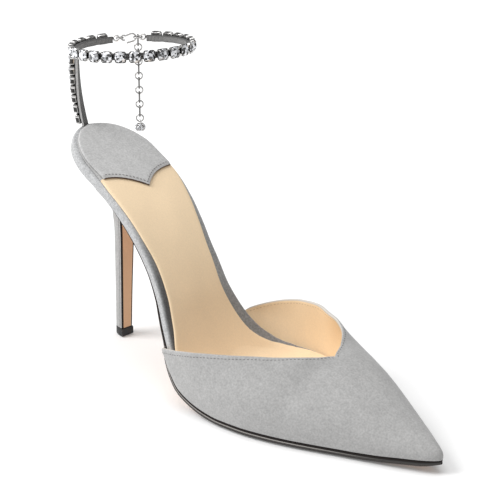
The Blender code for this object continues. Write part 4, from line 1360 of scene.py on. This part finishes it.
LOOP_STEPS = 720
EYE_SEARCH = 0.02
STONE_OUT = BAND_THICK / 2 + GAP
EYE_OUT = STONE_OUT + 0.6
RING_STEP = EYE_RADIUS + HOOK_RING_RADIUS - EYE_WIRE - RING_WIRE - WIRE_PLAY
HOOK_STEP = HOOK_RING_RADIUS + HOOK_EYE_RADIUS - 2 * RING_WIRE - WIRE_PLAY
CATCH_STEP = HOOK_BEND_RADIUS + CATCH_RADIUS - 2 * RING_WIRE - WIRE_PLAY
LAST_STEP = CATCH_RADIUS + EYE_RADIUS - RING_WIRE - EYE_WIRE - WIRE_PLAY
FASTENING_LONG = RING_STEP + HOOK_STEP + HOOK_LONG + CATCH_STEP + LAST_STEP
eye_start = loop_point(EYE_START_ANGLE, EYE_OUT)
eye_stop_angle = EYE_START_ANGLE
while (loop_point(eye_stop_angle, EYE_OUT) - eye_start).length < FASTENING_LONG:
    eye_stop_angle += EYE_SEARCH
eye_stop = loop_point(eye_stop_angle, EYE_OUT)
turns = np.linspace(eye_stop_angle - 360.0, EYE_START_ANGLE, LOOP_STEPS + 1)
loop_lengths = path_lengths([loop_point(turn, STONE_OUT) for turn in turns])
LOOP_LENGTH = float(loop_lengths[-1])


def angle_at(length):
    """Angle of the loop at a length along it from the fastening."""
    return float(np.interp(length, loop_lengths, turns))


RIBBON_FACE_POINTS = 6
RIBBON_FLAT = 0.92
RIBBON_EDGE = 0.6
# Painted shade: darker corners of the ribbed face, darker outer face and darker grooves between the ribs,
# lighter rib tops
RIBBON_CORNER_PAINTED_SHADE = 0.3
RIBBON_BACK_PAINTED_SHADE = 0.55
RIB_TOP_PAINTED_LIGHT = 1.2
RIB_GROOVE_PAINTED_SHADE = 0.45


def rib_groove(length):
    """Depth share of the ribs at a length along the ribbon, 1 in a groove."""
    return 0.5 - 0.5 * math.cos(2.0 * math.pi * length / RIB_PITCH)


def ribbon_ring(point, width_way, thick_way, wide, rib):
    """Section of a ribbon: ribbed inner face, rounded edge, outer face and the other edge."""
    half_wide = wide / 2
    half_thick = BAND_THICK / 2
    edge = half_thick * RIBBON_EDGE
    flat = np.linspace(-1.0, 1.0, RIBBON_FACE_POINTS) * half_wide * RIBBON_FLAT
    profile = [(a, -half_thick + RIB_DEEP * rib) for a in flat]
    profile += [(half_wide, -edge), (half_wide, edge)]
    profile += [(a, half_thick) for a in flat[::-1]]
    profile += [(-half_wide, edge), (-half_wide, -edge)]
    return [tuple(point + width_way * a + thick_way * b) for a, b in profile]


def ribbon_painted_shade(rib, light, edge):
    """Painted shades of one section: painted shade in the grooves of the ribs, at the corners and on the
    outer face, with painted shade or painted light on the ribbon's two edges.
    """
    ribs = light * (RIB_TOP_PAINTED_LIGHT + (RIB_GROOVE_PAINTED_SHADE - RIB_TOP_PAINTED_LIGHT) * rib)
    inside = [RIBBON_CORNER_PAINTED_SHADE] + [ribs] * (RIBBON_FACE_POINTS - 2) + [RIBBON_CORNER_PAINTED_SHADE]
    return inside + [edge, edge] + [RIBBON_BACK_PAINTED_SHADE] * RIBBON_FACE_POINTS + [edge, edge]


def add_ribbon(batch, frames, wide, light, edge):
    """Ribbon through frames, each a point, the ways of its width and thickness, and its length so far."""
    rings = []
    shade = []
    for point, width_way, thick_way, length in frames:
        rib = rib_groove(length)
        rings.append(ribbon_ring(point, width_way, thick_way, wide, rib))
        # Painted shade of the ribs and edges, kept on the mesh
        shade += ribbon_painted_shade(rib, light, edge)
    batch.add(*loft(rings), shade=shade)


EYE_STEP = EYE_RADIUS + 0.4
BAND_END = EYE_STEP + 0.6
BAND_STEPS = 900
STRAP_STEPS = 200
BACK_STRAP_STEPS = 280
FOOT_X = SEAT_BACK_X + 1.05
STRAP_FOOT = Vector((FOOT_X, -0.6, layer(FOOT_X, BOARD_TOP)[1] + 0.8))
STRAP_TOP = loop_point(180.0, -0.2)
STRAP_CONTROLS = (
    STRAP_FOOT,
    STRAP_FOOT + Vector((-1.0, -3.0, 16.0)),
    STRAP_TOP + Vector((-3.0, 2.0, -16.0)),
    STRAP_TOP,
)


def strap_frame(t):
    """Point of the back strap, its direction and its outward side, from the seat (0) to the band (1)."""
    along = Vector((0.0, 0.0, 0.0))
    weights = ((1 - t) ** 2, 2 * t * (1 - t), t * t)
    for weight, start, stop in zip(weights, STRAP_CONTROLS, STRAP_CONTROLS[1:]):
        along += (stop - start) * weight
    along.normalize()
    facing = Vector(STRAP_FOOT_FACING).lerp(-LONG, t)
    facing = (facing - along * facing.dot(along)).normalized()
    return Vector(bezier(STRAP_CONTROLS, t)), along, facing


strap_shares = np.linspace(0.0, 1.0, STRAP_STEPS + 1)
strap_lengths = path_lengths([strap_frame(t)[0] for t in strap_shares])
strap_batch = Batch()
frames = []
for length in np.linspace(BAND_END, LOOP_LENGTH - BAND_END, BAND_STEPS):
    point, _, outward = loop_frame(angle_at(length), 0.0)
    frames.append((point - LOOP_UP * BAND_LOW, LOOP_UP, outward, length))
add_ribbon(strap_batch, frames, BAND_SHOWN, BAND_LIGHT, BAND_EDGE_PAINTED_SHADE)
frames = []
for t in np.linspace(0.0, 1.0, BACK_STRAP_STEPS + 1):
    point, along, facing = strap_frame(t)
    frames.append((point, along.cross(facing), facing, float(np.interp(t, strap_shares, strap_lengths))))
add_ribbon(strap_batch, frames, BACK_STRAP_SHOWN, BACK_STRAP_PAINTED_SHADE, BACK_STRAP_EDGE_PAINTED_LIGHT)
strap_batch.piece("strap_suede", [RIBBON], replaced=("strap_band",), slot="suede")


# Crystals: faceted stones in metal cups with four claws

CUP_RINGS = ((2.2, 0.0), (2.45, 0.25), (2.65, 1.3), (2.75, 1.9), (2.6, 2.05), (2.4, 1.8))
CUP_SIDES = 32
CUP_SQUARE = 6.0
CUP_RIM_RING = 3
# Tones of the cups are painted reflections: dark sides, rim, back and bars, bright corners and foot
CUP_RIM_PAINTED_DARK = 0.25
CUP_BACK_PAINTED_DARK = 0.3
CUP_PAINTED_DARK = 0.07
CUP_PAINTED_GLINT = 0.8
CUP_PAINTED_GLINT_FROM = 0.88
GIRDLE = (2.75, 1.9)
CROWN = (2.25, 2.5)
TABLE = (1.5, 3.0)
FACETS = 8
# Painted reflections of the facets, from dark to bright, drawn at random for each facet
FACET_PAINTED_REFLECTIONS = (0.02, 0.05, 0.15, 0.4, 0.7, 0.95, 1.0, 1.0)
CLAW = ((2.8, 1.0), (2.9, 2.0), (2.6, 2.4), (2.2, 2.7))
CLAW_RADIUS = 0.252
BAR_RADIUS = 0.5
BAR_OUT = 0.55
SMALL_SIDES = 8


def cup_painted_reflection(i, k):
    """Painted reflection on one face of a cup: bright on the foot and at the corners, dark in the middle of
    its four sides and on the rim.
    """
    if i >= CUP_RIM_RING:
        return CUP_RIM_PAINTED_DARK
    from_middle = abs(math.sin(4.0 * math.pi * (k + 1.0) / CUP_SIDES))
    return CUP_PAINTED_DARK if i > 0 and from_middle < CUP_PAINTED_GLINT_FROM else CUP_PAINTED_GLINT


def cup_shape(scale):
    """Points, faces and painted reflection tones of a squarish cup that opens upward along z."""
    rings = []
    for radius, high in CUP_RINGS:
        ring = []
        for k in range(CUP_SIDES):
            turn = 2.0 * math.pi * (k + 0.5) / CUP_SIDES
            across = abs(math.cos(turn)) ** CUP_SQUARE + abs(math.sin(turn)) ** CUP_SQUARE
            reach = radius / across ** (1.0 / CUP_SQUARE)
            ring.append(Vector((reach * math.cos(turn), reach * math.sin(turn), high)) * scale)
        rings.append(ring)
    points, faces, tones = loft(rings, cup_painted_reflection)
    return [Vector(point) for point in points], faces, tones[:-2] + [CUP_BACK_PAINTED_DARK, CUP_PAINTED_DARK]


def stone_shape(scale):
    """Points and faces of a round cut stone: table, crown and girdle, with a closed back."""
    points = [Vector((0.0, 0.0, TABLE[1])) * scale]
    rings = ((TABLE, FACETS, 0.0), (CROWN, FACETS, 0.5), (GIRDLE, 2 * FACETS, 0.0))
    for (radius, high), count, shift in rings:
        for k in range(count):
            turn = 2.0 * math.pi * (k + shift) / count
            points.append(Vector((radius * math.cos(turn), radius * math.sin(turn), high)) * scale)
    table = 1
    crown = table + FACETS
    girdle = crown + FACETS
    faces = []
    for k in range(FACETS):
        n = (k + 1) % FACETS
        faces.append((0, table + k, table + n))
        faces.append((table + k, crown + k, table + n))
        faces.append((table + n, crown + k, girdle + 2 * n, crown + n))
        faces.append((crown + k, girdle + 2 * k, girdle + 2 * k + 1))
        faces.append((crown + k, girdle + 2 * k + 1, girdle + 2 * n))
    faces.append(tuple(range(girdle, girdle + 2 * FACETS)))
    return points, faces


def place(points, origin, first, second, third):
    """Shape points set on three directions at an origin."""
    return [origin + first * p.x + second * p.y + third * p.z for p in points]


def add_stone(stones, cups, origin, along, width_way, outward, scale=1.0, reflection_palette=FACET_PAINTED_REFLECTIONS, painted_cup_reflections=True):
    """One stone with its cup and claws."""
    points, faces, tones = cup_shape(scale)
    # The cup's tones are painted reflections; cups without them stay plain
    cups.add(place(points, origin, along, width_way, outward), faces, tones=tones if painted_cup_reflections else None)
    points, faces = stone_shape(scale)
    spin = DRAW.uniform(0.0, math.pi / 4)
    first = along * math.cos(spin) + width_way * math.sin(spin)
    second = width_way * math.cos(spin) - along * math.sin(spin)
    # Each facet gets a painted reflection
    tones = [DRAW.choice(reflection_palette) for _ in faces]
    stones.add(place(points, origin, first, second, outward), faces, tones=tones)
    for k in range(4):
        turn = math.pi / 4 + k * math.pi / 2
        way = along * math.cos(turn) + width_way * math.sin(turn)
        claw = [origin + (way * out + outward * high) * scale for out, high in CLAW]
        cups.add(*tube(claw, CLAW_RADIUS * scale, SMALL_SIDES, cyclic=False))


def add_bar(cups, start, stop, outward):
    """Small bar between two cups."""
    ends = [start + outward * BAR_OUT, stop + outward * BAR_OUT]
    points, faces = tube(ends, BAR_RADIUS, SMALL_SIDES, cyclic=False)
    cups.add(points, faces, tones=[CUP_PAINTED_DARK] * len(faces))


def stone_row(spots):
    """Stones and cups of a row, for each stone's place and the ways along, across and out of the row."""
    stones = Batch()
    cups = Batch()
    for spot in spots:
        add_stone(stones, cups, *spot)
    for first, second in zip(spots, spots[1:]):
        add_bar(cups, first[0], second[0], (first[3] + second[3]).normalized())
    return stones, cups


FASTEN_WAY = (eye_stop - eye_start).normalized()
FASTEN_OUT = FASTEN_WAY.cross(LOOP_UP).normalized()
if FASTEN_OUT.dot(eye_start - LOOP_CENTRE) < 0.0:
    FASTEN_OUT = -FASTEN_OUT

stone_count = int((LOOP_LENGTH - 2 * EYE_STEP) // STONE_PITCH)
row_start = (LOOP_LENGTH - (stone_count - 1) * STONE_PITCH) / 2
spots = []
for k in range(stone_count):
    point, along, outward = loop_frame(angle_at(row_start + k * STONE_PITCH), STONE_OUT)
    spots.append((point, along, LOOP_UP, outward))
stones, cups = stone_row(spots)
for centre, (spot, _, _, out_way) in ((eye_stop, spots[0]), (eye_start, spots[-1])):
    cups.add(*tube(arc(centre, FASTEN_WAY, LOOP_UP, EYE_RADIUS, count=28), EYE_WIRE))
    add_bar(cups, spot, centre - out_way * BAR_OUT + (spot - centre).normalized() * EYE_RADIUS, out_way)
stones.piece("ankle_stones", [CRYSTAL], replaced=("crystals_ankle",), slot="crystal", sharp=0.0)
cups.piece("ankle_cups", [CUP_METAL], slot="metal")

spots = []
for k in range(BACK_STONES):
    t = float(np.interp(BACK_FIRST + k * STONE_PITCH, strap_lengths, strap_shares))
    point, along, facing = strap_frame(t)
    spots.append((point + facing * STONE_OUT, along, along.cross(facing), facing))
stones, cups = stone_row(spots)
stones.piece("back_stones", [CRYSTAL], replaced=("crystals_back",), slot="crystal", sharp=0.0)
cups.piece("back_cups", [CUP_METAL], slot="metal")


# Fastening

def wire_piece(name, path, radius, node, body=SHOE, cyclic=True, metal=SILVER):
    """Bent wire that stands for one ring, hook or link."""
    points, faces = tube(path, radius, sides=12, cyclic=cyclic)
    make_piece(name, points, faces, [metal], body=body, replaced=(node,), slot="metal")


HOOK_TAIL = 2.6
ring_centre = eye_start + FASTEN_WAY * RING_STEP
hook_eye = ring_centre + FASTEN_WAY * HOOK_STEP
hook_bend = hook_eye + FASTEN_WAY * HOOK_LONG
catch_centre = hook_bend + FASTEN_WAY * CATCH_STEP
ring_path = arc(ring_centre, FASTEN_WAY, FASTEN_OUT, HOOK_RING_RADIUS, count=32)
wire_piece("hook_ring_wire", ring_path, RING_WIRE, "hook_ring")
hook_path = arc(hook_eye, FASTEN_WAY, LOOP_UP, HOOK_EYE_RADIUS, count=22, start=-60.0, sweep=-255.0)
hook_path += arc(hook_bend, FASTEN_WAY, LOOP_UP, HOOK_BEND_RADIUS, count=20, start=105.0, sweep=-190.0)
hook_path.append(hook_bend - FASTEN_WAY * HOOK_TAIL - LOOP_UP * HOOK_TAIL)
wire_piece("hook_wire", hook_path, RING_WIRE, "hook", cyclic=False)
catch_path = arc(catch_centre, FASTEN_WAY, FASTEN_OUT, CATCH_RADIUS, count=36)
wire_piece("catch_ring_wire", catch_path, RING_WIRE, "catch_ring")


# Extension chain

PIVOT = catch_centre + FASTEN_OUT * CATCH_RADIUS
UP = Vector((0.0, 0.0, 1.0))
SIDEWAYS = Vector((FASTEN_WAY.x, FASTEN_WAY.y, 0.0)).normalized()
OUTWARD = Vector((FASTEN_OUT.x, FASTEN_OUT.y, 0.0)).normalized()


def link_path(centre):
    """Long link: two half circles with straight sides."""
    straight = LINK_HALF_LONG - LINK_HALF_WIDE
    top = arc(centre + UP * straight, OUTWARD, UP, LINK_HALF_WIDE, count=14, sweep=180.0)
    bottom = arc(centre - UP * straight, OUTWARD, UP, LINK_HALF_WIDE, count=14, start=180.0, sweep=180.0)
    return top + bottom


LINK_SHOWN = 1.4 * LINK_WIRE
height = RING_WIRE + LINK_WIRE + WIRE_PLAY - LINK_HALF_LONG
HOLD = LINK_WIRE + CHAIN_RING_WIRE + WIRE_PLAY
for number in range(1, CHAIN_PAIRS + 1):
    wire_piece("chain_link_wire_%d" % number, link_path(PIVOT + UP * height), LINK_SHOWN,
               "chain_link_%d" % number, CHAIN, metal=DARK_SILVER)
    height += HOLD - LINK_HALF_LONG - CHAIN_RING_RADIUS
    ring_path = arc(PIVOT + UP * height, SIDEWAYS, UP, CHAIN_RING_RADIUS, count=32)
    wire_piece("chain_ring_wire_%d" % number, ring_path, CHAIN_RING_WIRE, "chain_ring_%d" % number, CHAIN)
    height += HOLD - CHAIN_RING_RADIUS - LINK_HALF_LONG


# Drop: a pebble set all round with small stones, on its own small eye

DROP_STONE_SCALE = 0.3
DROP_STONE_DEEP = 0.72
DROP_ROWS = ((-42.0, 5), (0.0, 8), (42.0, 5))
# Painted reflections of the drop's facets, mostly bright
DROP_FACET_PAINTED_REFLECTIONS = (0.3, 0.7, 0.95, 1.0, 1.0, 1.0, 1.0, 1.0)
PEBBLE_SHARE = 0.8
DROP_EYE_SUNK = 0.35
eye_height = height + LINK_HALF_LONG - DROP_EYE_RADIUS
drop_centre = PIVOT + UP * (eye_height - DROP_EYE_RADIUS - DROP_HALF[2] + DROP_EYE_SUNK)


def drop_way(x, y, z):
    """Way from the drop's middle, for its shares outward, sideways and up."""
    return OUTWARD * x + SIDEWAYS * y + UP * z


def on_drop(spot, share):
    """Point of the pebble for a point of the unit ball."""
    return drop_centre + drop_way(*[c * half for c, half in zip(spot, DROP_HALF)]) * share


stones = Batch()
cups = Batch()
points, faces = ball(32, 20)
cups.add([on_drop(point, PEBBLE_SHARE) for point in points], faces)
for latitude, count in DROP_ROWS:
    low = math.radians(latitude)
    for k in range(count):
        turn = 2.0 * math.pi * (k + 0.5) / count
        spot = (math.cos(turn) * math.cos(low), math.sin(turn) * math.cos(low), math.sin(low))
        out_way = drop_way(*[c / half for c, half in zip(spot, DROP_HALF)]).normalized()
        along = out_way.orthogonal().normalized()
        add_stone(stones, cups, on_drop(spot, DROP_STONE_DEEP), along, out_way.cross(along), out_way,
                  DROP_STONE_SCALE, DROP_FACET_PAINTED_REFLECTIONS, painted_cup_reflections=False)
cups.add(*tube(arc(PIVOT + UP * eye_height, OUTWARD, UP, DROP_EYE_RADIUS, count=24), LINK_WIRE))
stones.piece("drop_stones", [CRYSTAL], body=CHAIN, slot="crystal", sharp=0.0)
cups.piece("drop_setting", [CUP_METAL], body=CHAIN, replaced=("chain_drop",), slot="crystal")


# Stage: floor, soft light and camera

FLOOR_HALF = 6.0
FLOOR_DROP = 0.0002
corners = [(x * FLOOR_HALF, y * FLOOR_HALF, -FLOOR_DROP) for x, y in ((-1, -1), (1, -1), (1, 1), (-1, 1))]
floor_mesh = bpy.data.meshes.new("floor")
floor_mesh.from_pydata(corners, [], [(0, 1, 2, 3)])
floor_material, _, floor_shader = new_material("pale_floor")
set_sockets(floor_shader, {"Base Color": (0.92, 0.92, 0.92, 1.0), "Roughness": 0.9, "Specular IOR Level": 0.1,
                           "Emission Color": (1.0, 1.0, 1.0, 1.0), "Emission Strength": 0.12})
floor_mesh.materials.append(floor_material)
floor = bpy.data.objects.new("floor", floor_mesh)
bpy.context.scene.collection.objects.link(floor)
floor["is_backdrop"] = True

world = bpy.data.worlds.new("studio")
world.use_nodes = True
set_sockets(world.node_tree.nodes["Background"], {"Color": (1.0, 1.0, 1.0, 1.0), "Strength": 0.39})
bpy.context.scene.world = world
bpy.context.scene.view_settings.view_transform = "Standard"


def softbox(name, location, aim, size, power):
    """Square soft light that points at a place."""
    light = bpy.data.lights.new(name, "AREA")
    light.shape = "SQUARE"
    light.size = size
    light.energy = power
    lamp = bpy.data.objects.new(name, light)
    bpy.context.scene.collection.objects.link(lamp)
    lamp.location = location
    lamp.rotation_euler = (Vector(aim) - Vector(location)).to_track_quat("-Z", "Y").to_euler()


SHOE_MIDDLE = (0.09, 0.0, 0.05)
softbox("key", (-0.95, -1.3, 1.64), SHOE_MIDDLE, size=1.2, power=38.0)
softbox("top", (-0.1, 0.1, 2.05), SHOE_MIDDLE, size=1.6, power=18.0)

# Camera at the photograph's place, turned to the one shoe
CAMERA_PLACE = Vector((625.25, -489.66, 384.09)) * MM
CAMERA_WAY = Vector((-0.6772, 0.6220, -0.3931))
CAMERA_LENS = 125.6
CAMERA_SENSOR = 36.0
camera_data = bpy.data.cameras.new("photo_view")
camera_data.sensor_width = CAMERA_SENSOR
camera_data.lens = CAMERA_LENS
camera = bpy.data.objects.new("photo_view", camera_data)
camera.location = CAMERA_PLACE
camera.rotation_euler = CAMERA_WAY.to_track_quat("-Z", "Y").to_euler()
bpy.context.scene.collection.objects.link(camera)
bpy.context.scene.camera = camera

low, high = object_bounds()
